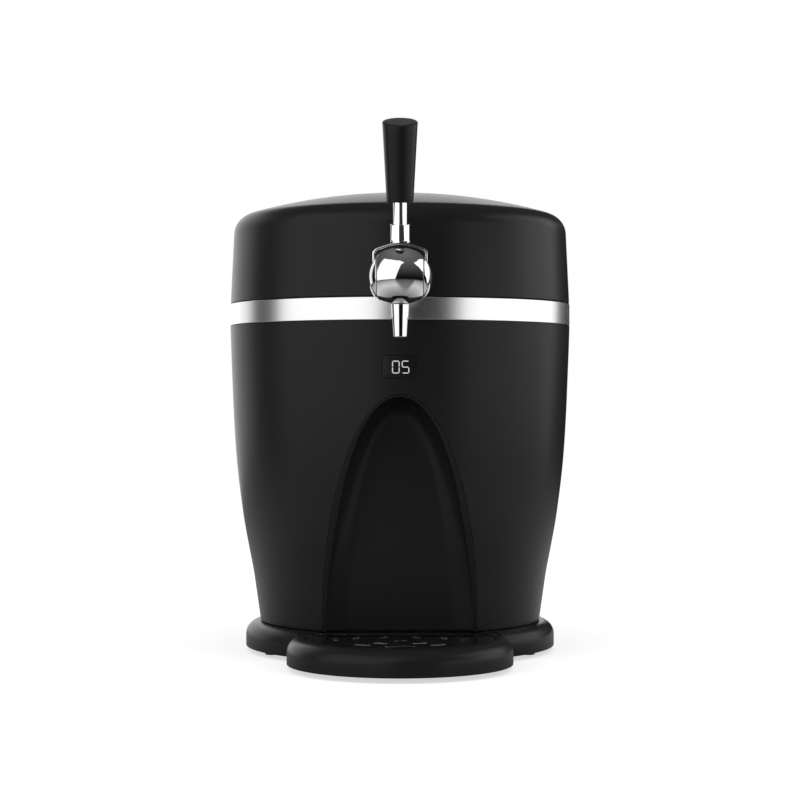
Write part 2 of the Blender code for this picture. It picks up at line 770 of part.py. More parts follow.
# Top collar: it closes the body round the well and carries the band and the lid
collar_inner = band_radius - SHELL_WALL - GAP
collar_skirt_bottom = body_top - COLLAR_DEPTH
collar_hole = well_outer + GAP
top_collar = turned(
    "top_collar",
    [(collar_radius, collar_top), (collar_radius, band_bottom - GAP), (collar_inner, band_bottom - GAP),
     (collar_inner, collar_skirt_bottom), (collar_inner - COLLAR_WALL, collar_skirt_bottom),
     (collar_inner - COLLAR_WALL, collar_top - COLLAR_FLANGE), (collar_hole, collar_top - COLLAR_FLANGE),
     (collar_hole, collar_top)],
    black, ring=True,
)
trim_band = turned(
    "trim_band",
    [(band_radius, collar_top), (band_radius, band_bottom), (band_radius - BAND_THICKNESS, band_bottom),
     (band_radius - BAND_THICKNESS, collar_top)],
    satin_steel, ring=True,
)
band_gap = block(
    "band_gap", (-HINGE_HALF_WIDTH - 2 * GAP, 0, band_bottom - OVERRUN),
    (HINGE_HALF_WIDTH + 2 * GAP, band_radius + OVERRUN, collar_top + OVERRUN),
)
boolean(trim_band, band_gap)

# Keg well and the foam round it
keg_well = turned(
    "keg_well",
    [(0, well_floor), (well_radius, well_floor), (well_radius, well_rim_top),
     (well_outer + WELL_FLANGE, well_rim_top), (well_outer + WELL_FLANGE, well_rim_top - WELL_WALL),
     (well_outer, well_rim_top - WELL_WALL), (well_outer, well_bottom), (0, well_bottom)],
    aluminium,
)

foam_top = collar_top - COLLAR_FLANGE - GAP
foam_skin = [
    (radius, height) for radius, height in body_profile(-SHELL_WALL - GAP, body_bottom)
    if height < collar_skirt_bottom - SLACK
]
foam_upper = collar_inner - COLLAR_WALL - SLACK
insulation = turned(
    "insulation",
    [(0, well_bottom - GAP), (well_outer + FOAM_SLACK, well_bottom - GAP),
     (well_outer + FOAM_SLACK, foam_top), (foam_upper, foam_top),
     (foam_upper, collar_skirt_bottom - SLACK)] + foam_skin
    + [(plug_radius, body_bottom), (plug_radius, base_plate_top + GAP), (0, base_plate_top + GAP)],
    foam, FOAM_STEPS,
)
niche_room = block(
    "niche_room", (-NICHE_HALF_WIDTH - 3 * NICHE_WALL, -band_radius, plinth_top),
    (NICHE_HALF_WIDTH + 3 * NICHE_WALL, -well_outer * math.sin(FULL_TURN / 8),
     NICHE_SPRING_HEIGHT + NICHE_ARCH_RISE + 2 * NICHE_WALL),
)
boolean(insulation, niche_room)
display_room = block(
    "display_room",
    (-half_board[0] - SLACK, -band_radius, NICHE_SPRING_HEIGHT + NICHE_ARCH_RISE),
    (half_board[0] + SLACK, board_front + BOARD_THICKNESS + GAP,
     display_height + half_board[1] + SLACK),
)
boolean(insulation, display_room)
cooler_room = block(
    "cooler_room", (-sink_room, well_radius * math.sin(FULL_TURN / 8), COOLER_CENTRE_HEIGHT - sink_room),
    (sink_room, band_radius, COOLER_CENTRE_HEIGHT + sink_room),
)
boolean(insulation, cooler_room)

# Cooling unit behind the well
cold_rear = well_outer + COLD_BLOCK_THICKNESS
half_cold = COLD_BLOCK_SIZE / 2
cold_block = block(
    "cold_block",
    (-half_cold, math.sqrt(well_outer ** 2 - half_cold ** 2) - SLACK, COOLER_CENTRE_HEIGHT - half_cold),
    (half_cold, cold_rear, COOLER_CENTRE_HEIGHT + half_cold), aluminium,
)
well_form = rod(
    "well_form", well_outer + GAP, (0, 0, body_bottom), (0, 0, collar_top), steps=BIG_STEPS,
)
boolean(cold_block, well_form)
half_cooling = COOLING_MODULE_SIZE / 2
cooling_rear = cold_rear + GAP + COOLING_MODULE_THICKNESS
block(
    "cooling_module", (-half_cooling, cold_rear + GAP, COOLER_CENTRE_HEIGHT - half_cooling),
    (half_cooling, cooling_rear, COOLER_CENTRE_HEIGHT + half_cooling), ceramic,
)
sink_front = cooling_rear + GAP
sink_base_rear = sink_front + SINK_BASE
sink_rear = sink_base_rear + SINK_FIN_LENGTH
comb = [(sink_half, sink_front), (-sink_half, sink_front)]
fin_pitch = (SINK_SIZE - SINK_FIN_THICKNESS) / (SINK_FIN_COUNT - 1)
for fin in range(SINK_FIN_COUNT):
    fin_left = -sink_half + fin * fin_pitch
    fin_right = fin_left + SINK_FIN_THICKNESS
    if fin:
        comb.append((fin_left, sink_base_rear))
    comb += [(fin_left, sink_rear), (fin_right, sink_rear)]
    if fin < SINK_FIN_COUNT - 1:
        comb.append((fin_right, sink_base_rear))
plate(
    "heat_sink", [comb], COOLER_CENTRE_HEIGHT - sink_half, COOLER_CENTRE_HEIGHT + sink_half, aluminium,
)

# Fan: a square frame with a motor plate on four struts, and a rotor that turns on the Y axis
fan_front = sink_rear + GAP
fan_rear = fan_front + FAN_DEPTH
fan_bore = FAN_SIZE / 2 - FAN_WALL
fan_axis = (0, fan_rear, COOLER_CENTRE_HEIGHT)
bore_outline = [
    (fan_bore * math.cos(FULL_TURN * i / MID_STEPS),
     COOLER_CENTRE_HEIGHT + fan_bore * math.sin(FULL_TURN * i / MID_STEPS))
    for i in range(MID_STEPS)
]
fan_frame = plate(
    "fan_frame",
    [rounded_box(FAN_SIZE, FAN_SIZE, FAN_CORNER, (0, COOLER_CENTRE_HEIGHT)), bore_outline],
    fan_front, fan_rear, fan_black, "XZ",
)
motor_front = fan_rear - FAN_MOTOR_THICKNESS
struts = block(
    "fan_struts", (-fan_bore - FAN_WALL / 2, motor_front, COOLER_CENTRE_HEIGHT - FAN_STRUT_WIDTH / 2),
    (fan_bore + FAN_WALL / 2, fan_rear - GAP, COOLER_CENTRE_HEIGHT + FAN_STRUT_WIDTH / 2),
)
upright_strut = block(
    "fan_upright_strut",
    (-FAN_STRUT_WIDTH / 2, motor_front, COOLER_CENTRE_HEIGHT - fan_bore - FAN_WALL / 2),
    (FAN_STRUT_WIDTH / 2, fan_rear - GAP, COOLER_CENTRE_HEIGHT + fan_bore + FAN_WALL / 2),
)
motor_plate = rod(
    "fan_motor_plate", FAN_HUB_RADIUS, (0, motor_front - GAP, COOLER_CENTRE_HEIGHT),
    (0, fan_rear - 2 * GAP, COOLER_CENTRE_HEIGHT),
)
for piece in (struts, upright_strut, motor_plate):
    boolean(fan_frame, piece, "UNION")
fan_pivot = pivot("fan_axis", fan_axis)
hub_rear = motor_front - 2 * GAP
hub_front = hub_rear - FAN_HUB_LENGTH
rotor = rod(
    "fan_rotor", FAN_HUB_RADIUS, (0, hub_front, COOLER_CENTRE_HEIGHT),
    (0, hub_rear, COOLER_CENTRE_HEIGHT), fan_black,
)
blade_tip = fan_bore - FAN_TIP_PLAY
blade_root = FAN_HUB_RADIUS - FAN_WALL
blades_mesh = bpy.data.meshes.new("fan_blades")
blades_shape = bmesh.new()
for number in range(FAN_BLADE_COUNT):
    spin = Matrix.Rotation(FULL_TURN * number / FAN_BLADE_COUNT, 4, "Y")
    place = Matrix.Translation(((blade_root + blade_tip) / 2, 0, 0))
    pitch = Matrix.Rotation(FAN_BLADE_PITCH, 4, "X")
    size = Matrix.Diagonal((blade_tip - blade_root, FAN_BLADE_CHORD, FAN_BLADE_THICKNESS, 1))
    bmesh.ops.create_cube(blades_shape, size=1, matrix=spin @ place @ pitch @ size)
blades_shape.to_mesh(blades_mesh)
blades_shape.free()
blades = keep(bpy.data.objects.new("fan_blades", blades_mesh))
blades.location = (0, (hub_front + hub_rear) / 2, COOLER_CENTRE_HEIGHT)
boolean(rotor, blades, "UNION")
hang(rotor, fan_pivot)

# Rear housing over the cooling unit, with its vents


def housing_block(name, inset, low, high, rounding, front, look=None):
    across = HOUSING_HALF_WIDTH - inset
    corner = HOUSING_CORNER - inset
    back = housing_back - inset
    outline = [(across, front)]
    for step in range(SMALL_STEPS // 2 + 1):
        angle = math.pi * step / (SMALL_STEPS // 2)
        side = math.copysign(across - corner, math.cos(angle)) if angle != math.pi / 2 else 0
        outline.append((side + corner * math.cos(angle), back - corner + corner * math.sin(angle)))
    outline.append((-across, front))
    made = plate(name, [outline], low, high, look)
    round_rim(
        made, lambda point: point.z > (low + high) / 2 and point.y > front - WELD, rounding,
    )
    for edge, weight in zip(made.data.edges, made.data.attributes["bevel_weight_edge"].data):
        if all(made.data.vertices[i].co.y < front + WELD for i in edge.vertices):
            weight.value = 0
    return made


housing_front = foot_of_body / 2
rear_housing = housing_block(
    "rear_housing", 0, body_bottom, housing_top, HOUSING_TOP_ROUNDING, housing_front, black,
)
housing_void = housing_block(
    "housing_void", HOUSING_WALL, body_bottom - OVERRUN, housing_top - HOUSING_WALL,
    HOUSING_TOP_ROUNDING - HOUSING_WALL, housing_front - OVERRUN,
)
boolean(rear_housing, housing_void)
barrel_room = body_form("barrel_room", GAP)
boolean(rear_housing, barrel_room)
foot_room = rod(
    "foot_room", foot_of_body + GAP, (0, 0, body_bottom - OVERRUN), (0, 0, body_bottom + GAP),
    steps=BIG_STEPS,
)
boolean(rear_housing, foot_room)
vents_mesh = bpy.data.meshes.new("vent_slots")
vents_shape = bmesh.new()
for number in range(VENT_COUNT):
    height = COOLER_CENTRE_HEIGHT + (number - (VENT_COUNT - 1) / 2) * VENT_PITCH
    place = Matrix.Translation((0, housing_back, height))
    bmesh.ops.create_cube(
        vents_shape, size=1, matrix=place @ Matrix.Diagonal((VENT_WIDTH, 2 * OVERRUN, VENT_SLOT, 1)),
    )
for number in range(SIDE_VENT_COUNT):
    height = COOLER_CENTRE_HEIGHT + (number - (SIDE_VENT_COUNT - 1) / 2) * VENT_PITCH
    for side in (-1, 1):
        place = Matrix.Translation(
            (side * HOUSING_HALF_WIDTH, housing_corner_y - SIDE_VENT_CENTRE, height)
        )
        size = Matrix.Diagonal((2 * OVERRUN, SIDE_VENT_LENGTH, VENT_SLOT, 1))
        bmesh.ops.create_cube(vents_shape, size=1, matrix=place @ size)
vents_shape.to_mesh(vents_mesh)
vents_shape.free()
vents = keep(bpy.data.objects.new("vent_slots", vents_mesh))
boolean(rear_housing, vents)

# Power parts: board, mains inlet and rocker switch
deck = plinth_top + GAP
board_low = deck + STANDOFF_HEIGHT
board_end = POWER_BOARD_START + POWER_BOARD_DEPTH
half_power = POWER_BOARD_WIDTH / 2
power_board = block(
    "power_board", (-half_power, POWER_BOARD_START, board_low),
    (half_power, board_end, board_low + BOARD_THICKNESS), board_green,
)
for number, (sign, row) in enumerate(((-1, 0), (1, 0), (-1, 1), (1, 1))):
    post_x = sign * (half_power - STANDOFF_INSET)
    post_y = (board_end - STANDOFF_INSET) if row else (POWER_BOARD_START + STANDOFF_INSET)
    post = rod(
        f"standoff_{number}", STANDOFF_RADIUS, (post_x, post_y, deck),
        (post_x, post_y, board_low + BOARD_THICKNESS / 2), steps=SMALL_STEPS,
    )
    boolean(power_board, post, "UNION")
transformer_y = (POWER_BOARD_START + board_end) / 2
transformer = block(
    "transformer",
    (-TRANSFORMER_SIZE / 2, transformer_y - TRANSFORMER_SIZE / 2, board_low + BOARD_THICKNESS / 2),
    (TRANSFORMER_SIZE / 2, transformer_y + TRANSFORMER_SIZE / 2,
     board_low + BOARD_THICKNESS + TRANSFORMER_HEIGHT),
)
boolean(power_board, transformer, "UNION")
capacitor_x = TRANSFORMER_SIZE / 2 + 2 * CAPACITOR_RADIUS
capacitor = rod(
    "capacitor", CAPACITOR_RADIUS, (capacitor_x, transformer_y, board_low + BOARD_THICKNESS / 2),
    (capacitor_x, transformer_y, board_low + BOARD_THICKNESS + CAPACITOR_HEIGHT), steps=SMALL_STEPS,
)
boolean(power_board, capacitor, "UNION")

housing_inner = housing_back - HOUSING_WALL
bezel_front = housing_back + GAP
bezel_rear = bezel_front + PORT_BEZEL_THICKNESS


def port_body(name, centre_x, depth, look):
    """A snap-in body with a bezel that seats on the outside of the rear wall."""
    half_wide, half_tall = PORT_WIDTH / 2, PORT_TALL / 2
    made = block(
        name, (centre_x - half_wide, housing_inner - depth, port_height - half_tall),
        (centre_x + half_wide, bezel_front + PORT_BEZEL_THICKNESS / 2, port_height + half_tall), look,
    )
    bezel = block(
        name + "_bezel",
        (centre_x - half_wide - PORT_BEZEL_MARGIN, bezel_front, port_height - half_tall - PORT_BEZEL_MARGIN),
        (centre_x + half_wide + PORT_BEZEL_MARGIN, bezel_rear, port_height + half_tall + PORT_BEZEL_MARGIN),
    )
    boolean(made, bezel, "UNION")
    hole = block(
        name + "_hole",
        (centre_x - half_wide - GAP, housing_inner - OVERRUN, port_height - half_tall - GAP),
        (centre_x + half_wide + GAP, housing_back + OVERRUN, port_height + half_tall + GAP),
    )
    boolean(rear_housing, hole)
    return made


inlet_x, switch_x = -PORT_SPREAD, PORT_SPREAD
mains_inlet = port_body("mains_inlet", inlet_x, INLET_DEPTH, fan_black)
recess_front = bezel_rear - INLET_RECESS_DEPTH
inlet_recess = block(
    "inlet_recess",
    (inlet_x - INLET_RECESS_WIDTH / 2, recess_front, port_height - INLET_RECESS_HEIGHT / 2),
    (inlet_x + INLET_RECESS_WIDTH / 2, bezel_rear + OVERRUN, port_height + INLET_RECESS_HEIGHT / 2),
)
pins_mesh = bpy.data.meshes.new("inlet_pins")
pins_shape = bmesh.new()
pin_end = bezel_rear - INLET_PIN_SET_BACK
for pin_x, pin_z in ((-INLET_PIN_PITCH, 0), (0, INLET_PIN_RISE), (INLET_PIN_PITCH, 0)):
    place = Matrix.Translation(
        (inlet_x + pin_x, (recess_front + pin_end) / 2, port_height + pin_z)
    )
    size = Matrix.Diagonal(
        (INLET_PIN_WIDTH, pin_end - recess_front + PORT_BEZEL_THICKNESS, INLET_PIN_HEIGHT, 1)
    )
    bmesh.ops.create_cube(pins_shape, size=1, matrix=place @ size)
pins_shape.to_mesh(pins_mesh)
pins_shape.free()
pins = keep(bpy.data.objects.new("inlet_pins", pins_mesh))
boolean(mains_inlet, inlet_recess)
boolean(mains_inlet, pins, "UNION")

switch_frame = port_body("switch_frame", switch_x, SWITCH_DEPTH, fan_black)
rocker_axis_y = bezel_rear - ROCKER_PIVOT_DEPTH
switch_well = block(
    "switch_well",
    (switch_x - ROCKER_HALF_WIDTH - GAP, rocker_axis_y - ROCKER_FOOT - ROCKER_SWEEP_ROOM,
     port_height - ROCKER_HALF_LENGTH - ROCKER_SWEEP_ROOM),
    (switch_x + ROCKER_HALF_WIDTH + GAP, bezel_rear + OVERRUN,
     port_height + ROCKER_HALF_LENGTH + ROCKER_SWEEP_ROOM),
)
boolean(switch_frame, switch_well)
rocker_outline = [
    (-ROCKER_FOOT, -ROCKER_HALF_LENGTH / 2), (0, -ROCKER_HALF_LENGTH),
    (ROCKER_END_FACE, -ROCKER_HALF_LENGTH), (ROCKER_CENTRE_FACE, 0),
    (ROCKER_END_FACE, ROCKER_HALF_LENGTH), (0, ROCKER_HALF_LENGTH),
    (-ROCKER_FOOT, ROCKER_HALF_LENGTH / 2),
]
rocker = plate(
    "switch_rocker", [rocker_outline], -ROCKER_HALF_WIDTH, ROCKER_HALF_WIDTH, fan_black, "YZ",
)
rocker_pivot = pivot("rocker_axis", (switch_x, rocker_axis_y, port_height), (ROCKER_TILT, 0, 0))
rocker.parent = rocker_pivot

# Four screws hold the rear wall of the housing
for name, sign, height in (
    ("lower_left", -1, body_bottom + HOUSING_SCREW_LOW),
    ("lower_right", 1, body_bottom + HOUSING_SCREW_LOW),
    ("upper_left", -1, housing_top - HOUSING_SCREW_BELOW_ROOF),
    ("upper_right", 1, housing_top - HOUSING_SCREW_BELOW_ROOF),
):
    screw_x = sign * (housing_corner_x - HOUSING_SCREW_RADIUS)
    head_under = housing_back + GAP
    turned(
        f"housing_screw_{name}",
        [(0, HOUSING_SCREW_HEAD), (HOUSING_SCREW_RADIUS - FOOT_CHAMFER, HOUSING_SCREW_HEAD),
         (HOUSING_SCREW_RADIUS, HOUSING_SCREW_HEAD - FOOT_CHAMFER), (HOUSING_SCREW_RADIUS, 0),
         (HOUSING_SCREW_SHANK, 0), (HOUSING_SCREW_SHANK, -HOUSING_SCREW_LENGTH),
         (0, -HOUSING_SCREW_LENGTH)],
        steel, SMALL_STEPS, at=(screw_x, head_under, height), turn=(-math.pi / 2, 0, 0),
    )
    screw_hole = rod(
        f"screw_hole_{name}", HOUSING_SCREW_SHANK + GAP, (screw_x, housing_inner - OVERRUN, height),
        (screw_x, housing_back + OVERRUN, height), steps=SMALL_STEPS,
    )
    boolean(rear_housing, screw_hole)

# Lid hinge: two ears on the collar, a pin, and an arm on the lid's rear wall
collar_form = rod(
    "collar_form", collar_radius + GAP, (0, 0, body_top - OVERRUN), (0, 0, collar_top + OVERRUN),
    steps=BIG_STEPS,
)
axis_y, axis_z = hinge_axis.y, hinge_axis.z


def eye_outline(turns):
    """Points round the hinge eye for angles given in degrees, measured from +Y towards +Z."""
    return [
        (axis_y + hinge_eye * math.cos(turn * DEGREE), axis_z + hinge_eye * math.sin(turn * DEGREE))
        for turn in turns
    ]


pad_front = collar_radius - BAND_THICKNESS
ear_outline = [(pad_front, band_bottom + SLACK), (axis_y - SLACK, band_bottom + SLACK)]
ear_outline += eye_outline(range(-30, 181, 30))
ear_outline += [(axis_y - hinge_eye, collar_top - SLACK), (pad_front, collar_top - SLACK)]
hinge_bracket = plate(
    "hinge_bracket", [ear_outline], -HINGE_HALF_WIDTH, HINGE_HALF_WIDTH, steel, "YZ",
)
eye_span = HINGE_HALF_WIDTH - HINGE_EAR_WIDTH
arm_room = block(
    "arm_room", (-eye_span, pad_front - SLACK, axis_z - hinge_eye - SLACK),
    (eye_span, axis_y + 2 * hinge_eye, axis_z + 2 * hinge_eye),
)
pad_room = block(
    "pad_room", (-eye_span, axis_y - hinge_eye, band_bottom),
    (eye_span, axis_y + 2 * hinge_eye, axis_z + 2 * hinge_eye),
)
boolean(hinge_bracket, arm_room)
boolean(hinge_bracket, pad_room)
boolean(hinge_bracket, collar_form)
pin_hole = rod(
    "pin_hole", HINGE_PIN_RADIUS + GAP, (-HINGE_HALF_WIDTH - OVERRUN, axis_y, axis_z),
    (HINGE_HALF_WIDTH + OVERRUN, axis_y, axis_z), steps=SMALL_STEPS,
)
boolean(hinge_bracket, pin_hole)
pin_half = HINGE_HALF_WIDTH + HINGE_PIN_END
rod(
    "hinge_pin", HINGE_PIN_RADIUS, (-pin_half, axis_y, axis_z), (pin_half, axis_y, axis_z), steel,
    SMALL_STEPS,
)

lid_pivot = pivot("lid_axis", hinge_axis)
lid_form = turned(
    "lid_form", [(0, dome_base + DOME_HEIGHT), (dome_radius + GAP, dome_base + DOME_HEIGHT),
                 (dome_radius + GAP, dome_base), (lid_radius + GAP, lid_bottom),
                 (lid_radius + GAP, lid_bottom - OVERRUN), (0, lid_bottom - OVERRUN)],
)
arm_top = axis_z + HINGE_ARM_RISE
arm_rear = axis_y - hinge_eye + HINGE_ARM_THICKNESS
arm_outline = [(dome_radius - LID_TAPER, axis_z + hinge_eye)]
arm_outline += eye_outline(range(180, 361, 30))
arm_outline += eye_outline((30, 60))
arm_outline += [(arm_rear, axis_z + 2 * hinge_eye), (arm_rear, arm_top), (dome_radius - LID_TAPER, arm_top)]
lid_arm = plate(
    "lid_hinge_arm", [arm_outline], -eye_span + GAP, eye_span - GAP, steel, "YZ",
)
boolean(lid_arm, lid_form)
boolean(lid_arm, pin_hole)

# Lid: dome, foam, liner and gasket
lid_outer = lid_profile(0, lid_bottom)
lid_inner = lid_profile(SHELL_WALL, lid_bottom)
lid_shell = turned("lid_shell", lid_outer + list(reversed(lid_inner)), lid_black)
liner_flange = lid_radius - SHELL_WALL - GAP - LID_STEP_IN
liner_outer = liner_radius + LINER_WALL
liner_top = liner_ceiling + LINER_WALL
lid_liner = turned(
    "lid_liner",
    [(0, liner_top), (liner_outer, liner_top), (liner_outer, liner_bottom + LINER_WALL),
     (liner_flange, liner_bottom + LINER_WALL), (liner_flange, liner_bottom),
     (liner_radius, liner_bottom), (liner_radius, liner_ceiling), (0, liner_ceiling)],
    liner_grey,
)
foam_foot = liner_bottom + LINER_WALL + GAP
foam_lid_skin = [point for point in lid_profile(SHELL_WALL + GAP, foam_foot)]
lid_foam = turned(
    "lid_foam",
    foam_lid_skin + [(liner_outer + FOAM_SLACK, foam_foot), (liner_outer + FOAM_SLACK, liner_top + GAP),
                     (0, liner_top + GAP)],
    foam, FOAM_STEPS,
)
gasket_inner = liner_radius + GASKET_OFFSET - SLACK
lid_gasket = turned(
    "lid_gasket",
    [(gasket_inner + GASKET_WIDTH, liner_bottom - GAP), (gasket_inner + GASKET_WIDTH, collar_top + GAP),
     (gasket_inner, collar_top + GAP), (gasket_inner, liner_bottom - GAP)],
    rubber, ring=True,
)

# Tap on the lid's front wall
shank_start = (0, -(lid_radius + TAP_FLANGE_THICKNESS), tap_height)
shank_end = (0, -(liner_radius - NUT_THICKNESS - SHANK_TAIL), tap_height)
shank_path = rod(
    "shank_path", SHANK_RADIUS + GAP, (0, shank_start[1] - OVERRUN, tap_height),
    (0, shank_end[1] + OVERRUN, tap_height), steps=MID_STEPS,
)
for piece in (lid_shell, lid_foam, lid_liner):
    boolean(piece, shank_path)
tap_flange = rod(
    "tap_flange", TAP_FLANGE_RADIUS, shank_start, (0, -(dome_radius - LID_TAPER), tap_height), chrome,
)
boolean(tap_flange, lid_form)
boolean(tap_flange, shank_path)
rod("tap_shank", SHANK_RADIUS, shank_start, shank_end, steel)
nut_radius = NUT_ACROSS / 2 / math.cos(math.pi / 6)
nut_front = -(liner_radius * math.cos(math.asin(nut_radius / liner_radius)) - GAP)
shank_nut = rod(
    "shank_nut", nut_radius, (0, nut_front, tap_height), (0, nut_front + NUT_THICKNESS, tap_height),
    steel, 6,
)
boolean(shank_nut, shank_path)

# Ball of the tap: a slice of a sphere turned about the cross axis, cut in an arch on top
slice_steps = 6
edge_angle = math.asin(BALL_HALF_WIDTH / BALL_RADIUS)


def ball_arc(first, last, steps):
    return [
        (BALL_RADIUS * math.cos(first + (last - first) * i / steps),
         BALL_RADIUS * math.sin(first + (last - first) * i / steps))
        for i in range(steps + 1)
    ]


half = BALL_HALF_WIDTH - GAP / 2
tap_body = turned(
    "tap_body", [(0, half)] + ball_arc(math.asin(half / BALL_RADIUS), -math.asin(half / BALL_RADIUS),
                                       slice_steps) + [(0, -half)],
    chrome, BALL_STEPS, at=tap_centre, turn=(0, math.pi / 2, 0),
)
arch_centre = tap_height + BALL_TOP - BALL_TOP_CURVE
arch_half = math.asin((BALL_HALF_WIDTH + OVERRUN) / BALL_TOP_CURVE)
arch = [(-BALL_HALF_WIDTH - OVERRUN, tap_height + 2 * BALL_RADIUS)]
for step in range(slice_steps + 1):
    angle = -arch_half + 2 * arch_half * step / slice_steps
    arch.append((BALL_TOP_CURVE * math.sin(angle), arch_centre + BALL_TOP_CURVE * math.cos(angle)))
arch.append((BALL_HALF_WIDTH + OVERRUN, tap_height + 2 * BALL_RADIUS))
arch_cut = plate(
    "arch_cut", [arch], tap_centre.y - 2 * BALL_RADIUS, tap_centre.y + 2 * BALL_RADIUS, plane="XZ",
)
bottom_cut = block(
    "bottom_cut", (-2 * BALL_RADIUS, tap_centre.y - 2 * BALL_RADIUS, tap_height - 2 * BALL_RADIUS),
    (2 * BALL_RADIUS, tap_centre.y + 2 * BALL_RADIUS, tap_height - BALL_BOTTOM),
)
boolean(tap_body, arch_cut)
boolean(tap_body, bottom_cut)
neck = rod(
    "tap_neck", NECK_RADIUS, (0, tap_centre.y, tap_height), (0, shank_start[1] - GAP, tap_height),
)
boolean(tap_body, neck, "UNION")
nozzle_top = tap_height - BALL_BOTTOM - GAP
nozzle = rod(
    "tap_nozzle", NOZZLE_TIP_RADIUS, (0, tap_centre.y, nozzle_top - NOZZLE_LENGTH),
    (0, tap_centre.y, nozzle_top), chrome, end_radius=NOZZLE_TOP_RADIUS,
)
nozzle_bore = rod(
    "nozzle_bore", NOZZLE_BORE_RADIUS, (0, tap_centre.y, nozzle_top - NOZZLE_LENGTH - OVERRUN),
    (0, tap_centre.y, nozzle_top - NOZZLE_LENGTH + NOZZLE_BORE_DEPTH), steps=SMALL_STEPS,
)
boolean(nozzle, nozzle_bore)

# Lever, built upright about its cross axis and leant forward by its pivot
lever_pivot = pivot("lever_axis", tap_centre, (LEVER_LEAN, 0, 0))
cheek = BALL_HALF_WIDTH + GAP / 2
cheek_profile = ball_arc(math.asin(cheek / BALL_RADIUS), math.pi / 2, 4)
cheek_profile[-1] = (0, BALL_RADIUS)
cheek_profile = list(reversed(cheek_profile)) + [(0, cheek)]
yoke_left = turned("yoke_left_cheek", cheek_profile, steps=BALL_STEPS, turn=(0, -math.pi / 2, 0))
yoke_right = turned("yoke_right_cheek", cheek_profile, steps=BALL_STEPS, turn=(0, math.pi / 2, 0))
hood_top = HOOD_INNER_HEIGHT + HOOD_THICKNESS
shoulder = HOOD_HALF_WIDTH - HOOD_CORNER
hood_outer = [
    (-HOOD_HALF_WIDTH, HOOD_FOOT_HEIGHT), (-HOOD_HALF_WIDTH, hood_top - HOOD_SHOULDER_DROP - HOOD_CORNER),
    (-shoulder, hood_top - HOOD_SHOULDER_DROP), (-shoulder / 2, hood_top - HOOD_SHOULDER_DROP / 4),
    (0, hood_top), (shoulder / 2, hood_top - HOOD_SHOULDER_DROP / 4),
    (shoulder, hood_top - HOOD_SHOULDER_DROP),
    (HOOD_HALF_WIDTH, hood_top - HOOD_SHOULDER_DROP - HOOD_CORNER), (HOOD_HALF_WIDTH, HOOD_FOOT_HEIGHT),
]
side = HOOD_HALF_WIDTH - HOOD_THICKNESS
inner_shoulder = shoulder - HOOD_THICKNESS / 2
hood_inner = [
    (side, HOOD_FOOT_HEIGHT), (side, HOOD_INNER_HEIGHT - HOOD_SHOULDER_DROP - HOOD_CORNER),
    (inner_shoulder, HOOD_INNER_HEIGHT - HOOD_SHOULDER_DROP),
    (inner_shoulder / 2, HOOD_INNER_HEIGHT - HOOD_SHOULDER_DROP / 4), (0, HOOD_INNER_HEIGHT),
    (-inner_shoulder / 2, HOOD_INNER_HEIGHT - HOOD_SHOULDER_DROP / 4),
    (-inner_shoulder, HOOD_INNER_HEIGHT - HOOD_SHOULDER_DROP),
    (-side, HOOD_INNER_HEIGHT - HOOD_SHOULDER_DROP - HOOD_CORNER), (-side, HOOD_FOOT_HEIGHT),
]
yoke = plate(
    "lever_yoke", [hood_outer + hood_inner], -HOOD_DEPTH / 2, HOOD_DEPTH / 2, chrome, "XZ",
)
boolean(yoke, yoke_left, "UNION")
boolean(yoke, yoke_right, "UNION")
pin_seat = rod(
    "pivot_seat", PIVOT_RADIUS + GAP, (-2 * BALL_RADIUS, 0, 0), (2 * BALL_RADIUS, 0, 0),
    steps=SMALL_STEPS,
)
boolean(yoke, pin_seat)
for helper in (yoke_left, yoke_right, pin_seat, yoke):
    helper.parent = lever_pivot
pin_outer = math.sqrt(BALL_RADIUS ** 2 - PIVOT_RADIUS ** 2) - GAP
for name, sign in (("left", -1), ("right", 1)):
    ends = sorted((sign * (half + GAP), sign * pin_outer))
    pin = rod(
        f"lever_pivot_pin_{name}", PIVOT_RADIUS, (ends[0], 0, 0), (ends[1], 0, 0), chrome, SMALL_STEPS,
    )
    pin.parent = lever_pivot
lever_collar = turned(
    "lever_collar",
    [(0, COLLAR_TOP_HEIGHT), (COLLAR_RADIUS - GRIP_EDGE / 2, COLLAR_TOP_HEIGHT),
     (COLLAR_RADIUS, COLLAR_TOP_HEIGHT - GRIP_EDGE / 2), (COLLAR_RADIUS, hood_top + 2 * GAP),
     (0, hood_top + 2 * GAP)],
    chrome, MID_STEPS,
)
rod_end = GRIP_START + GRIP_SOCKET_DEPTH
lever_rod = rod(
    "lever_rod", ROD_RADIUS, (0, 0, COLLAR_TOP_HEIGHT + GAP), (0, 0, rod_end), chrome,
)
grip_end = GRIP_START + GRIP_LENGTH + GRIP_HEAD_RADIUS
head_growth = (GRIP_HEAD_RADIUS - GRIP_FOOT_RADIUS) / GRIP_LENGTH
lever_grip = turned(
    "lever_grip",
    [(0, grip_end), (GRIP_HEAD_RADIUS + head_growth * GRIP_HEAD_RADIUS, grip_end),
     (GRIP_FOOT_RADIUS, GRIP_START + GRIP_EDGE), (GRIP_FOOT_RADIUS - GRIP_EDGE, GRIP_START),
     (ROD_RADIUS + GAP, GRIP_START), (ROD_RADIUS + GAP, rod_end + GAP), (0, rod_end + GAP)],
    grip_black, MID_STEPS,
)
head_centre = GRIP_START + GRIP_LENGTH
slant = rod(
    "grip_slant", 2 * GRIP_HEAD_RADIUS, (0, 0, 0), (0, 0, 2 * GRIP_HEAD_RADIUS), steps=SMALL_STEPS,
)
slant_turn = Euler((GRIP_SLANT, 0, 0))
reach = Vector((0, 0, GRIP_HEAD_RADIUS))
reach.rotate(slant_turn)
slant.rotation_euler = slant_turn
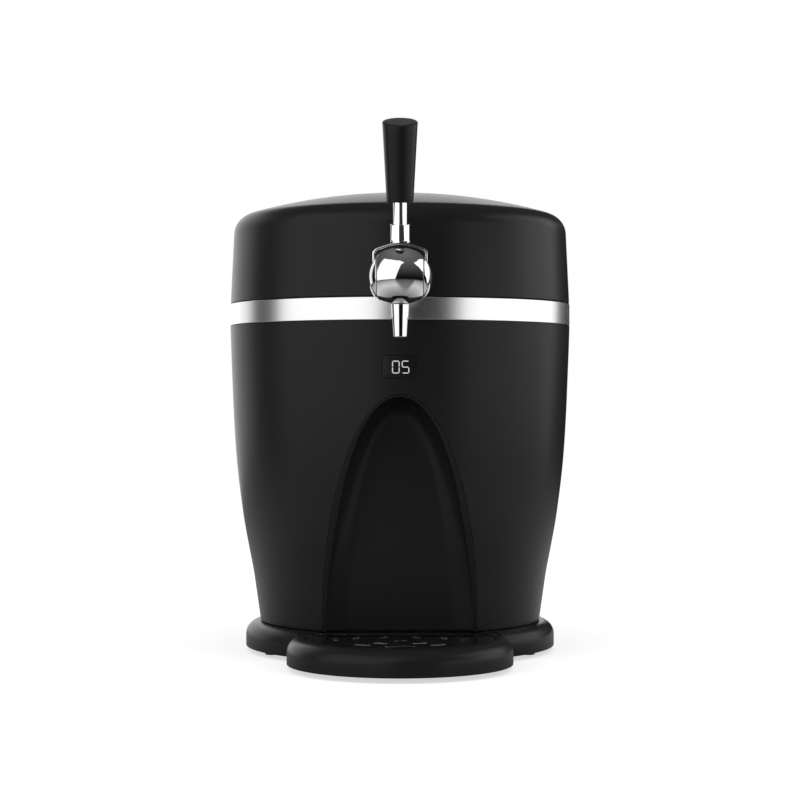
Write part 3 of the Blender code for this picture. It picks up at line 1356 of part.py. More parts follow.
slant.location = Vector((0, 0, head_centre)) + reach
boolean(lever_grip, slant)
for piece in (lever_collar, lever_rod, lever_grip, slant):
    piece.parent = lever_pivot

# Keg coupler, its seal and post, and the beer line from it to the shank
coupler_bottom = collar_top + COUPLER_ABOVE_RIM
coupler_top = coupler_bottom + COUPLER_HEIGHT
coupler = turned(
    "keg_coupler",
    [(0, coupler_top), (COUPLER_RADIUS, coupler_top),
     (COUPLER_RADIUS, coupler_bottom + COUPLER_FOOT_HEIGHT),
     (COUPLER_FOOT_RADIUS, coupler_bottom + COUPLER_FOOT_HEIGHT), (COUPLER_FOOT_RADIUS, coupler_bottom),
     (0, coupler_bottom)],
    liner_grey, MID_STEPS,
)
port_z = coupler_bottom + COUPLER_PORT_HEIGHT
port_end = -(COUPLER_RADIUS + COUPLER_PORT_LENGTH)
port = rod(
    "coupler_port", COUPLER_PORT_RADIUS, (0, 0, port_z), (0, port_end, port_z), steps=SMALL_STEPS,
)
boolean(coupler, port, "UNION")
seal_top = coupler_bottom - GAP
turned(
    "coupler_seal",
    [(SEAL_INNER_RADIUS + SEAL_WIDTH, seal_top), (SEAL_INNER_RADIUS + SEAL_WIDTH, seal_top - SEAL_THICKNESS),
     (SEAL_INNER_RADIUS, seal_top - SEAL_THICKNESS), (SEAL_INNER_RADIUS, seal_top)],
    rubber, MID_STEPS, ring=True,
)
post_top = liner_ceiling - GAP
turned(
    "coupler_post",
    [(0, post_top), (POST_FLANGE_RADIUS, post_top), (POST_FLANGE_RADIUS, post_top - POST_FLANGE_THICKNESS),
     (POST_RADIUS, post_top - POST_FLANGE_THICKNESS), (POST_RADIUS, coupler_top + GAP),
     (0, coupler_top + GAP)],
    liner_grey, MID_STEPS,
)
hose_start = Vector((0, shank_end[1] + GAP, tap_height))
hose_stop = Vector((0, port_end - GAP, port_z))
bend_start = hose_start + Vector((0, HOSE_END_RUN, 0))
bend_stop = hose_stop - Vector((0, HOSE_END_RUN, 0))
route = [hose_start]
for step in range(HOSE_POINTS + 1):
    share = step / HOSE_POINTS
    ease = share * share * (3 - 2 * share)
    sideways = HOSE_BULGE * math.sin(math.pi * share) ** 2
    point = bend_start.lerp(bend_stop, share)
    point.z = bend_start.z + (bend_stop.z - bend_start.z) * ease
    route.append(point + Vector((sideways, 0, 0)))
route.append(hose_stop)
hose_curve = bpy.data.curves.new("beer_hose", "CURVE")
hose_curve.dimensions = "3D"
hose_curve.bevel_depth = HOSE_RADIUS
hose_curve.bevel_resolution = 2
hose_curve.use_fill_caps = True
hose_spline = hose_curve.splines.new("POLY")
hose_spline.points.add(len(route) - 1)
for point, place in zip(hose_spline.points, route):
    point.co = (*place, 1)
beer_hose = keep(meshed(bpy.data.objects.new("beer_hose", hose_curve)), hose_clear)
clip_outer = HOSE_RADIUS + GAP + CLIP_THICKNESS
for name, centre in (
    ("shank", hose_start + Vector((0, HOSE_END_RUN / 2, 0))),
    ("coupler", hose_stop - Vector((0, HOSE_END_RUN / 2, 0))),
):
    turned(
        f"hose_clip_{name}",
        [(clip_outer, CLIP_WIDTH / 2), (clip_outer, -CLIP_WIDTH / 2), (HOSE_RADIUS + GAP, -CLIP_WIDTH / 2),
         (HOSE_RADIUS + GAP, CLIP_WIDTH / 2)],
        steel, SMALL_STEPS, ring=True, at=centre, turn=(math.pi / 2, 0, 0),
    )

# Everything that swings with the lid
for name in (
    "lid_shell", "lid_liner", "lid_foam", "lid_gasket", "lid_hinge_arm", "tap_flange", "tap_shank",
    "shank_nut", "tap_body", "tap_nozzle", "keg_coupler", "coupler_seal", "coupler_post", "beer_hose",
    "hose_clip_shank", "hose_clip_coupler",
):
    hang(bpy.data.objects[name], lid_pivot)
hang(lever_pivot, lid_pivot)

# Drip tray: a hollow rounded rim round a basin, cut straight at the rear
tray_pivot = pivot("tray_slide", (0, tray_centre, plinth_bottom))


def rim_arc(radius, top, drop_radius):
    return [
        (radius + drop_radius * math.sin(math.pi / 2 * i / TRAY_RIM_STEPS),
         top - drop_radius + drop_radius * math.cos(math.pi / 2 * i / TRAY_RIM_STEPS))
        for i in range(TRAY_RIM_STEPS + 1)
    ]


ledge_top = grid_top - GRID_THICKNESS - GAP
lip_edge = tray_top - TRAY_LIP_DROP
ledge_inner = tray_lip_radius - TRAY_LEDGE
floor_top = tray_floor_bottom + TRAY_WALL
hollow_top = tray_top - TRAY_WALL
hollow_arc = list(reversed(rim_arc(tray_top_radius, hollow_top, TRAY_ROUNDING - TRAY_WALL)))
tray_points = [(0, floor_top), (ledge_inner, floor_top), (ledge_inner, ledge_top),
               (tray_lip_radius, ledge_top), (tray_lip_radius, lip_edge)]
tray_points += rim_arc(tray_top_radius, tray_top, TRAY_ROUNDING)
tray_points += [(TRAY_RADIUS, plinth_bottom), (TRAY_RADIUS - TRAY_WALL, plinth_bottom)]
tray_points += hollow_arc
tray_points += [(tray_top_radius, ledge_top - TRAY_WALL), (ledge_inner + TRAY_WALL, ledge_top - TRAY_WALL),
                (ledge_inner + TRAY_WALL, tray_floor_bottom), (0, tray_floor_bottom)]
drip_tray = turned("drip_tray", tray_points, black, at=(0, tray_centre, 0))
behind_tray = block(
    "behind_tray", (-2 * TRAY_RADIUS, tray_rear, plinth_bottom - OVERRUN),
    (2 * TRAY_RADIUS, 0, tray_top + OVERRUN),
)
boolean(drip_tray, behind_tray)
wall_radius = (tray_lip_radius + tray_top_radius) / 2
wall_front = tray_rear - TRAY_REAR_RIM
half_rear = math.sqrt(wall_radius ** 2 - (tray_rear - tray_centre) ** 2)
half_front = math.sqrt(wall_radius ** 2 - (wall_front - tray_centre) ** 2)
rear_wall = plate(
    "tray_rear_wall",
    [[(-half_front, wall_front), (half_front, wall_front), (half_rear, tray_rear - WELD),
      (-half_rear, tray_rear - WELD)]],
    tray_floor_bottom + WELD, lip_edge - GAP / 2,
)
boolean(drip_tray, rear_wall, "UNION")
hang(drip_tray, tray_pivot)

# Drip grid: a plate with rings of slots that rests on the tray's ledge
grid_pivot = pivot("grid_lift", (0, tray_centre, grid_top))
grid_radius = tray_lip_radius - GRID_PLAY
drip_grid = plate(
    "drip_grid", [clipped_circle(tray_centre, grid_radius, grid_rear)],
    grid_top - GRID_THICKNESS, grid_top, gloss_black,
)


def slot_outline(ring, turn, length):
    """A round-ended slot lying along a ring of the given radius, its turn counted from the front."""
    along, outward = Vector((math.cos(turn), math.sin(turn))), Vector((math.sin(turn), -math.cos(turn)))
    middle = Vector((0, tray_centre)) + outward * ring
    half_run, end = (length - SLOT_WIDTH) / 2, SLOT_WIDTH / 2
    points = []
    for step in range(8):
        angle = math.pi / 8 + FULL_TURN * step / 8
        run = math.copysign(half_run, math.cos(angle)) + end * math.cos(angle)
        point = middle + along * run + outward * end * math.sin(angle)
        points.append((point.x, point.y))
    return points


slots = []
for ring, turns, share in (
    (OUTER_SLOT_RING, OUTER_SLOT_ANGLES, 1), (INNER_SLOT_RING, INNER_SLOT_ANGLES, 1),
    (CENTRE_SLOT_RING, CENTRE_SLOT_ANGLES, SHORT_SLOT_SHARE),
):
    slots += [slot_outline(ring, turn * DEGREE, SLOT_LENGTH * share) for turn in turns]
grid_slots = plate("grid_slots", slots, grid_top - GRID_THICKNESS - OVERRUN, grid_top + OVERRUN)
boolean(drip_grid, grid_slots)
hang(drip_grid, grid_pivot)
hang(grid_pivot, tray_pivot)
bpy.context.view_layer.update()
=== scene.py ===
import json
from math import acos, asin, atan2, copysign, cos, pi, sin, sqrt, tan

import bmesh
import bpy
from mathutils import Matrix, Vector


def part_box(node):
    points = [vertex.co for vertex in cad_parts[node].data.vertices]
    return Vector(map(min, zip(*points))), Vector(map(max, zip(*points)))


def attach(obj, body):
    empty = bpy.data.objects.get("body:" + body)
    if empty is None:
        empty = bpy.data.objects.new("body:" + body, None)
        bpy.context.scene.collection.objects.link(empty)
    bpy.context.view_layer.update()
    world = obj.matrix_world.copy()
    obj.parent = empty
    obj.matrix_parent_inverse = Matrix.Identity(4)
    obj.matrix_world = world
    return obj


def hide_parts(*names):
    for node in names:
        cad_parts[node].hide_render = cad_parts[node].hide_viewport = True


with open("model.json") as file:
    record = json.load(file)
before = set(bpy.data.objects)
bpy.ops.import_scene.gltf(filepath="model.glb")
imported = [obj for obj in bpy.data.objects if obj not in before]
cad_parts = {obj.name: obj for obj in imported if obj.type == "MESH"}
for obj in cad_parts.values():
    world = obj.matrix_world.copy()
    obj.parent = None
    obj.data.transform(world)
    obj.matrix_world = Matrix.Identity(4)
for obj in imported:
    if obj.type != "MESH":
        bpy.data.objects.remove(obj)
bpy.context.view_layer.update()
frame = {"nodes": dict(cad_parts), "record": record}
nodes = frame["nodes"]

# Studio
# A white backdrop and a level camera with a long lens. Two soft boxes stand at the sides and
# one hangs over the object.
DEGREE = pi / 180
scene = bpy.context.scene
scene.view_settings.view_transform = "Standard"


def placed(name, data):
    """Puts a camera, a lamp or a mesh into the scene."""
    made = bpy.data.objects.new(name, data)
    scene.collection.objects.link(made)
    return made


camera_data = bpy.data.cameras.new("camera")
camera_data.lens = 91.9
camera_data.sensor_width = 36
camera_data.shift_y = 0.0015
camera_data.clip_end = 20
camera = placed("camera", camera_data)
camera.location = (0, -1.6551, 0.1998)
camera.rotation_euler = (90 * DEGREE, 0, 0)
scene.camera = camera


def soft_box(name, place, aim, size, power):
    data = bpy.data.lights.new(name, "AREA")
    data.shape = "RECTANGLE"
    data.size, data.size_y = size
    data.energy = power
    lamp = placed(name, data)
    lamp.location = place
    lamp.rotation_euler = (Vector(aim) - Vector(place)).to_track_quat("-Z", "Y").to_euler()
    lamp.visible_glossy = False


soft_box("box_left", (-1.5, -1.3, 1.0), (0, 0, 0.2), (1.2, 1.6), 9)
soft_box("box_right", (1.6, -0.9, 0.9), (0, 0, 0.2), (1.0, 1.6), 7)
soft_box("box_top", (0, 0.1, 1.9), (0, 0, 0), (1.8, 1.4), 9)


def add_node(tree, kind, *values, **settings):
    """A node in a tree. Values fill its inputs in order, or by name in keys like in_Scale, and
    each is a constant, a node whose first output is meant, or an output."""
    made = tree.nodes.new("ShaderNode" + kind)
    filled = dict(enumerate(values))
    for key, value in settings.items():
        if key.startswith("in_"):
            filled[key[3:].replace("_", " ")] = value
        else:
            setattr(made, key, value)
    for key, value in filled.items():
        if isinstance(value, bpy.types.Node):
            value = value.outputs[0]
        if isinstance(value, bpy.types.NodeSocket):
            tree.links.new(value, made.inputs[key])
        else:
            made.inputs[key].default_value = value
    return made


world = bpy.data.worlds.new("studio")
scene.world = world
world.use_nodes = True
tree = world.node_tree
tree.nodes.clear()
path = add_node(tree, "LightPath").outputs
seen = add_node(tree, "Math", path["Is Camera Ray"], path["Is Glossy Ray"], operation="MAXIMUM")
seen = add_node(tree, "Math", seen, path["Is Transmission Ray"], operation="MAXIMUM")
fill = add_node(tree, "Background", in_Color=(0.96, 0.98, 1, 1), in_Strength=0.55)
backdrop = add_node(tree, "Background", in_Color=(1, 1, 1, 1), in_Strength=1.0)
add_node(tree, "OutputWorld", add_node(tree, "MixShader", seen, fill, backdrop))

# Tent
# Reflections see a studio tent: a grey roof that darkens down to the table, a bright sheet on
# the left, one on the right and one behind. Each line gives (degrees, degrees) along its edge.
TENT_RADIUS, TENT_HEIGHT, TENT_LOW, EDGE_SOFTNESS = 3.2, 0.29, -30, 2
ROOF_SHADES = [(-5, 0.006), (2, 0.016), (9, 0.028), (24, 0.058), (38, 0.084), (54, 0.113), (88, 0.177)]
LEFT_SHEET_TOP = [(-128, 30), (-111, 38), (-83, 50), (-45, 54), (0, 52.5), (18.6, 45.3)]
LEFT_SHEET_EDGE = [(-12, -17), (0, -12), (9.3, -9), (23.6, -3), (38.2, 4.3), (45.3, 18.6)]
LEFT_SHEET_END, LEFT_END_SOFTNESS, LEFT_SHEET_SHADE = -86, 4, 1.15
RIGHT_SHEET_TOP = [(60.4, 40.2), (98.3, 43.2), (121.5, 35.6), (149, 16)]
RIGHT_SHEET_EDGE = [(-12, 117), (11, 86), (18, 80), (25, 74.3), (32, 67), (40.2, 60.4)]
RIGHT_SHEET_END = [(-12, 120), (2, 127), (9, 131), (16, 138)]
RIGHT_SHEET_SHADE = 1.25
REAR_SHEET_LEFT, REAR_SHEET_RIGHT, REAR_SHEET_TOP = -116, 168, 32
REAR_SHEET_SHADES = [(-165, 1.6), (-150, 1.5), (-130, 1.0), (165, 1.0), (172, 1.6)]


def along_line(points, place):
    """The height of a line through (place, height) points, level beyond its ends."""
    if place <= points[0][0]:
        return points[0][1]
    for (first, low), (last, high) in zip(points, points[1:]):
        if place <= last:
            return low + (high - low) * (place - first) / (last - first)
    return points[-1][1]


def inside(*distances):
    """1 where every distance to an edge is positive, with a narrow soft step at the edge."""
    return min(1, max(0, min(0.5 + distance / EDGE_SOFTNESS for distance in distances)))


def tent_shade(side, rise):
    left = inside(along_line(LEFT_SHEET_TOP, side) - rise, (side - LEFT_SHEET_END) / LEFT_END_SOFTNESS,
                  along_line(LEFT_SHEET_EDGE, rise) - side)
    right = inside(along_line(RIGHT_SHEET_TOP, side) - rise, side - along_line(RIGHT_SHEET_EDGE, rise),
                   along_line(RIGHT_SHEET_END, rise) - side)
    rear = inside(REAR_SHEET_TOP - rise, max(
        (REAR_SHEET_LEFT - side) / LEFT_END_SOFTNESS, side - REAR_SHEET_RIGHT))
    return max(along_line(ROOF_SHADES, rise), left * LEFT_SHEET_SHADE, right * RIGHT_SHEET_SHADE,
               rear * along_line(REAR_SHEET_SHADES, side))


def lattice(name, rows, wrap=True, close=False):
    """A skin over rows of points: wrap joins each row's ends, close joins the last row to the first."""
    mesh = bpy.data.meshes.new(name)
    across = len(rows[0])
    faces = []
    for r in range(len(rows) if close else len(rows) - 1):
        below = ((r + 1) % len(rows)) * across
        for c in range(across if wrap else across - 1):
            right = (c + 1) % across
            faces.append((r * across + c, r * across + right, below + right, below + c))
    mesh.from_pydata([point for row in rows for point in row], [], faces)
    return placed(name, mesh)


def new_material(name):
    made = bpy.data.materials.new(name)
    made.use_nodes = True
    made.node_tree.nodes.clear()
    return made, made.node_tree


def reflected_cloth(name, sides, rises, distance, shade_of, clear=False):
    """Cloth hung on a sphere round the object, which only reflections see."""
    rows, shades = [], []
    for rise in rises:
        across, height = distance * cos(rise * DEGREE), TENT_HEIGHT + distance * sin(rise * DEGREE)
        rows.append([
            (across * sin(side * DEGREE), -across * cos(side * DEGREE), height) for side in sides])
        shades += [shade_of(side, rise) for side in sides]
    made = lattice(name, rows, wrap=not clear)
    made.data.attributes.new("shade", "FLOAT", "POINT").data.foreach_set("value", shades)
    look, tree = new_material(name)
    look.cycles.emission_sampling = "NONE"
    shade = add_node(tree, "Attribute", attribute_name="shade").outputs["Fac"]
    glow = add_node(tree, "Emission", (1, 1, 1, 1), shade)
    if clear:
        glow = add_node(tree, "AddShader", glow, add_node(tree, "BsdfTransparent"))
    add_node(tree, "OutputMaterial", glow)
    made.data.materials.append(look)
    made.visible_camera = made.visible_diffuse = made.visible_transmission = made.visible_shadow = False
    return made


reflected_cloth("tent", range(-180, 180), range(TENT_LOW, 91), TENT_RADIUS, tent_shade)
LOW_SHEET_LEFT, LOW_SHEET_RIGHT, LOW_SHEET_FOOT, LOW_SHEET_TOP, LOW_SHEET_SOFTNESS = 38, 100, -12, 12, 5


def low_sheet_shade(side, rise):
    return RIGHT_SHEET_SHADE * inside(
        (side - LOW_SHEET_LEFT) / LOW_SHEET_SOFTNESS, LOW_SHEET_RIGHT - side,
        rise - LOW_SHEET_FOOT, LOW_SHEET_TOP - rise)


low_sheet = reflected_cloth(
    "low_sheet", range(LOW_SHEET_LEFT - 16, LOW_SHEET_RIGHT + 5),
    range(LOW_SHEET_FOOT - 2, LOW_SHEET_TOP + 3), TENT_RADIUS * 0.98, low_sheet_shade, clear=True)
ball_pieces = bpy.data.collections.new("ball_pieces")
low_sheet.light_linking.receiver_collection = ball_pieces
LEVER_GAP_LEFT, LEVER_GAP_RIGHT, LEVER_GAP_SHADE, LEVER_GAP_SOFTNESS = -8, 44, 0.035, 3
LEVER_SHEET_RADIUS = 0.5


def lever_sheet_shade(side, rise):
    """White on both sides of a narrow dark gap, for the thin upright rods."""
    gap = min(abs(side - LEVER_GAP_LEFT), abs(side - LEVER_GAP_RIGHT)) / LEVER_GAP_SOFTNESS
    if LEVER_GAP_LEFT < side < LEVER_GAP_RIGHT:
        return LEVER_GAP_SHADE + max(0.0, 1 - gap) * 0.5
    return 1.6 if gap > 1 else 0.55 + gap


lever_sheet = reflected_cloth(
    "lever_sheet", range(-110, 131), range(-33, 2), LEVER_SHEET_RADIUS, lever_sheet_shade, clear=True)
lever_pieces = bpy.data.collections.new("lever_pieces")
lever_sheet.light_linking.receiver_collection = lever_pieces

# Floor
# A pale table top. To the camera it is as white as the backdrop but for the object's shadow,
# and in reflections it is bright where the two sheets light it and grey in front between them.
FLOOR_RADIUS, FLOOR_WHITE = 1.65, 0.62
FLOOR_SEEN_FROM = (0, -0.168, 0)
FLOOR_DARK, FLOOR_DARK_FALL, FLOOR_DARK_LEAST = 0.25, -0.145, 0.04
FLOOR_LIT_NEAR, FLOOR_LIT, FLOOR_LIT_FAR = 0.22, 0.62, 0.06
floor_mesh = bpy.data.meshes.new("floor")
floor_shape = bmesh.new()
bmesh.ops.create_circle(floor_shape, cap_ends=True, radius=FLOOR_RADIUS, segments=96)
floor_shape.to_mesh(floor_mesh)
floor_shape.free()
floor = placed("floor", floor_mesh)
floor_look, tree = new_material("floor")
path = add_node(tree, "LightPath").outputs
seen_light = add_node(tree, "Math", path["Is Camera Ray"], FLOOR_WHITE, operation="MULTIPLY")
painted = add_node(tree, "BsdfDiffuse", (FLOOR_WHITE, FLOOR_WHITE, FLOOR_WHITE, 1))
painted = add_node(tree, "AddShader", painted, add_node(tree, "Emission", (1, 1, 1, 1), seen_light))
spot = add_node(tree, "TexCoord").outputs["Object"]
reach = add_node(tree, "VectorMath", spot, FLOOR_SEEN_FROM, operation="DISTANCE").outputs["Value"]
unlit = add_node(tree, "Math", reach, FLOOR_DARK_FALL, FLOOR_DARK, operation="MULTIPLY_ADD")
unlit = add_node(tree, "Math", unlit, FLOOR_DARK_LEAST, operation="MAXIMUM")
near = add_node(tree, "MapRange", reach, 0.12, 0.45, FLOOR_LIT_NEAR, FLOOR_LIT)
far = add_node(tree, "MapRange", reach, 0.5, 1.5, FLOOR_LIT, FLOOR_LIT_FAR)
lit = add_node(tree, "Math", near, far, operation="MINIMUM")
edges = []
for slope, offset, soft in (((-0.917, 0.398, 0), 0.214, 0.1), ((0.519, 0.855, 0), 0.25, 0.07)):
    past = add_node(tree, "VectorMath", spot, slope, operation="DOT_PRODUCT").outputs["Value"]
    edges.append(add_node(
        tree, "MapRange", past, -offset - soft, -offset + soft, interpolation_type="SMOOTHSTEP"))
sheets = add_node(tree, "Math", *edges, operation="MAXIMUM")
mirrored = add_node(tree, "Mix", in_Factor=sheets, in_A=unlit, in_B=lit).outputs["Result"]
glow = add_node(tree, "Emission", (1, 1, 1, 1), mirrored)
add_node(tree, "OutputMaterial", add_node(tree, "MixShader", path["Is Glossy Ray"], painted, glow))
floor_look.cycles.emission_sampling = "NONE"
floor_mesh.materials.append(floor_look)
floor_shy_pieces = bpy.data.collections.new("floor_shy_pieces")
floor.light_linking.receiver_collection = floor_shy_pieces


# Moulded black plastic
# The body, lid, base and tray are injection-moulded in black with a fine spark-eroded grain.
# The grain breaks up the shine, and handling has polished it a little in soft patches.
def node_group(name, inputs, outputs):
    """An empty shader group: its tree, what it is given and what it puts out."""
    tree = bpy.data.node_groups.new(name, "ShaderNodeTree")
    for label, value in inputs.items():
        tree.interface.new_socket(label, in_out="INPUT", socket_type="NodeSocketFloat").default_value = value
    for label in outputs:
        tree.interface.new_socket(label, in_out="OUTPUT", socket_type="NodeSocketFloat")
    return tree, tree.nodes.new("NodeGroupInput").outputs, tree.nodes.new("NodeGroupOutput").inputs


grain_tree, given, put_out = node_group(
    "moulded_grain", {"Grain Size": 0.4, "Patch Size": 60.0}, ("Grain", "Patches", "Dust"))
spot = add_node(grain_tree, "TexCoord").outputs["Object"]
fine = add_node(grain_tree, "Math", 1000, given["Grain Size"], operation="DIVIDE")
fine = add_node(grain_tree, "TexNoise", in_Vector=spot, in_Scale=fine, in_Detail=2, in_Roughness=0.6)
broad = add_node(grain_tree, "Math", 1000, given["Patch Size"], operation="DIVIDE")
broad = add_node(grain_tree, "TexNoise", in_Vector=spot, in_Scale=broad, in_Detail=3, in_Roughness=0.5)
speck = add_node(grain_tree, "TexNoise", in_Vector=spot, in_Scale=900, in_Detail=1)
dusty = add_node(grain_tree, "MapRange", speck, 0.7, 0.82, interpolation_type="SMOOTHSTEP")
for mark, label in ((fine, "Grain"), (broad, "Patches"), (dusty, "Dust")):
    grain_tree.links.new(mark.outputs[0], put_out[label])


def surface(name, group, colours, tone_mark, roughs, rough_mark, bump=None, sockets=None, **sizes):
    """A material whose colour and roughness each run between two values along a group's mark."""
    look, tree = new_material(name)
    marks = add_node(tree, "Group", node_tree=group, **sizes).outputs
    rough = add_node(tree, "MapRange", marks[rough_mark], 0, 1, *roughs)
    tone = add_node(tree, "Mix", data_type="RGBA", in_Factor=marks[tone_mark],
                    in_A=(*colours[0], 1), in_B=(*colours[1], 1)).outputs["Result"]
    shader = add_node(tree, "BsdfPrincipled", in_Base_Color=tone, in_Roughness=rough, **sockets)
    if bump:
        mark, depth, distance = bump
        raised = add_node(tree, "Bump", in_Height=marks[mark], in_Strength=depth, in_Distance=distance)
        tree.links.new(raised.outputs[0], shader.inputs["Normal"])
    add_node(tree, "OutputMaterial", shader)
    return look


def moulded(name, colour, rough, depth=0.06, grain=0.45, spread=0.06, dust=0.01, specular=0.5):
    """A moulded plastic: its colour, mean roughness, grain depth and size in millimetres."""
    return surface(
        name, grain_tree, (colour, [min(1, c + dust) for c in colour]), "Dust",
        (rough - spread / 2, rough + spread / 2), "Patches", ("Grain", depth, 0.0001),
        {"in_Specular_IOR_Level": specular}, in_Grain_Size=grain)


housing_black = moulded("black_housing", (0.0115, 0.0115, 0.012), 0.34, specular=0.2)

# Body shell
# The barrel is one thin moulding: it swells from the foot to the trim band.
# It is cut for the niche, the display and, at the rear, the heat sink.
TURN = 2 * pi
WELD = 1e-6
BODY_FOOT, BODY_TOP, SHELL, SEAM, FOOT_EDGE = 0.0239, 0.26, 0.0025, 0.0003, 0.0006
BARREL = [
    (0.1124, 0.0239), (0.1152, 0.043), (0.118, 0.0625), (0.1217, 0.082), (0.1253, 0.1015),
    (0.1281, 0.1206), (0.1305, 0.14), (0.1323, 0.159), (0.1336, 0.1786), (0.1346, 0.198),
    (0.1354, 0.218), (0.1362, 0.238), (0.1369, 0.26),
]


def curve_through(points, steps):
    """A smooth path through points, with more points between each two."""
    path = []
    for i in range(len(points) - 1):
        a, b, c = Vector(points[max(i - 1, 0)]), Vector(points[i]), Vector(points[i + 1])
        d = Vector(points[min(i + 2, len(points) - 1)])
        for s in range(steps):
            t = s / steps
            bend = (2 * a - 5 * b + 4 * c - d) * t * t + (3 * b - a - 3 * c + d) * t ** 3
            path.append(tuple(0.5 * ((2 * b) + (c - a) * t + bend)))
    path.append(tuple(points[-1]))
    return path


barrel_path = curve_through(BARREL, 5)
barrel_heights = [(z, r) for r, z in barrel_path]


def barrel_radius(height):
    return along_line(barrel_heights, height)


def shaded(made, sharp):
    """Shades a piece smooth up to an edge angle."""
    made.data.shade_smooth()
    made.data.set_sharp_from_angle(angle=sharp * DEGREE)
    return made


def finish_mesh(made, sharp=35):
    """Welds a piece, turns its faces outward and shades it."""
    shape = bmesh.new()
    shape.from_mesh(made.data)
    bmesh.ops.remove_doubles(shape, verts=shape.verts, dist=WELD)
    bmesh.ops.dissolve_degenerate(shape, edges=shape.edges, dist=WELD)
    bmesh.ops.recalc_face_normals(shape, faces=shape.faces)
    shape.to_mesh(made.data)
    shape.free()
    return shaded(made, sharp)


def turned(name, profile, closed=False, steps=96, start=0.0, sweep=TURN, sharp=35):
    """A (radius, height) profile swept round the Z axis through the given angle."""
    whole = sweep >= TURN - 1e-9
    angles = [start + sweep * i / steps for i in range(steps if whole else steps + 1)]
    rows = [[(r * cos(a), r * sin(a), height) for a in angles] for r, height in profile]
    return finish_mesh(lattice(name, rows, wrap=whole, close=closed), sharp)


def slab(name, outline, low, high, plane="XZ"):
    """A flat outline as a solid: XZ runs along Y from low to high, XY stands on Z, YZ runs along X."""
    place = {
        "XZ": lambda u, v, w: (u, w, v), "XY": lambda u, v, w: (u, v, w), "YZ": lambda u, v, w: (w, u, v),
    }[plane]
    mesh = bpy.data.meshes.new(name)
    shape = bmesh.new()
    first = [shape.verts.new(place(u, v, low)) for u, v in outline]
    second = [shape.verts.new(place(u, v, high)) for u, v in outline]
    shape.faces.new(first)
    shape.faces.new(second)
    for i in range(len(outline)):
        j = (i + 1) % len(outline)
        shape.faces.new((first[i], first[j], second[j], second[i]))
    bmesh.ops.recalc_face_normals(shape, faces=shape.faces)
    shape.to_mesh(mesh)
    shape.free()
    return placed(name, mesh)


def apply_all(made):
    """Replaces a piece's mesh by the result of its modifiers."""
    bpy.context.view_layer.update()
    graph = bpy.context.evaluated_depsgraph_get()
    result = bpy.data.meshes.new_from_object(made.evaluated_get(graph))
    old = made.data
    made.modifiers.clear()
    made.data = result
    bpy.data.meshes.remove(old)
    return made


def cut(made, *tools, operation="DIFFERENCE"):
    """Cuts the tools out of a piece, or joins them to it, and removes them."""
    for tool in tools:
        step = made.modifiers.new("cut", "BOOLEAN")
        step.operation = operation
        step.object = tool
        step.solver = "EXACT"
    apply_all(made)
    for tool in tools:
        mesh = tool.data
        bpy.data.objects.remove(tool)
        bpy.data.meshes.remove(mesh)
    return made


def rounded_outline(width, height, radius, centre=(0, 0), steps=8):
    outline = []
    for corner, (sx, sy) in enumerate(((1, 1), (-1, 1), (-1, -1), (1, -1))):
        for i in range(steps + 1):
            angle = (corner + i / steps) * pi / 2
            outline.append((
                centre[0] + sx * (width / 2 - radius) + radius * cos(angle),
                centre[1] + sy * (height / 2 - radius) + radius * sin(angle)))
    return outline


ARCH_HALF, ARCH_SPRING, ARCH_RISE = 0.0588, 0.035, 0.17


def arch_outline(inset, low, steps=72):
    """The niche's outline at an inset, from its low left corner over the arch to its low right one."""
    across = ARCH_HALF - inset
    foot = [(across, low + (ARCH_SPRING - low) * i / 6) for i in range(6)]
    over = []
    for i in range(steps + 1):
        angle = pi * (1 - i / steps)
        over.append((across * cos(angle), ARCH_SPRING + (ARCH_RISE - inset) * sin(angle)))
    return [(-x, z) for x, z in foot] + over + foot[::-1]


def smooth_barrel(made):
    """Shades a cut piece of the barrel with the normals that the whole barrel has."""
    shaded(made, 35)
    normals = [Vector(corner.vector) for corner in made.data.corner_normals]
    for face in made.data.polygons:
        facing = face.normal.dot(Vector((face.center.x, face.center.y, 0)).normalized())
        if abs(facing) < 0.9:
            continue
        for corner in face.loop_indices:
            point = made.data.vertices[made.data.loops[corner].vertex_index].co
            reach = 0.004 if BODY_FOOT + 0.004 <= point.z <= BODY_TOP - 0.004 else 0.008
            low, high = max(point.z - reach, BODY_FOOT), min(point.z + reach, BODY_TOP)
            slope = (barrel_radius(high) - barrel_radius(low)) / (high - low)
            flat = Vector((point.x, point.y, 0)).normalized()
            normals[corner] = copysign(1, facing) * Vector((flat.x, flat.y, -slope)).normalized()
    made.data.normals_split_custom_set([tuple(v) for v in normals])


looks = {}


def dress(made, look, body, slot, *replaced):
    """Gives a piece its material and body, files the material under the slot's name and hides the solids
    that it stands for.
    """
    looks.setdefault(slot, look)
    made.data.materials.clear()
    made.data.materials.append(look)
    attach(made, body)
    if replaced:
        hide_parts(*replaced)
    return made


edge_top = BODY_FOOT + FOOT_EDGE
outer_skin = [(barrel_path[0][0] - FOOT_EDGE, BODY_FOOT), (barrel_radius(edge_top), edge_top)]
inner_skin = [(r - SHELL, z) for r, z in reversed(barrel_path)]
body_shell = turned("moulded_body", outer_skin + barrel_path[1:] + inner_skin, closed=True, steps=256)
DISPLAY_WIDE, DISPLAY_TALL, DISPLAY_HEIGHT = 0.0258, 0.0165, 0.2255
display_hole = (DISPLAY_WIDE + 2 * SEAM, DISPLAY_TALL + 2 * SEAM, 0.0014, (0, DISPLAY_HEIGHT))
cut(
    body_shell,
    slab("niche_cut", arch_outline(0, BODY_FOOT - 0.01, 96), -0.2, -0.06),
    slab("display_cut", rounded_outline(*display_hole), -0.2, -0.06),
    slab("sink_cut", rounded_outline(0.106, 0.106, 0.002, (0, 0.16)), 0.06, 0.2),
)
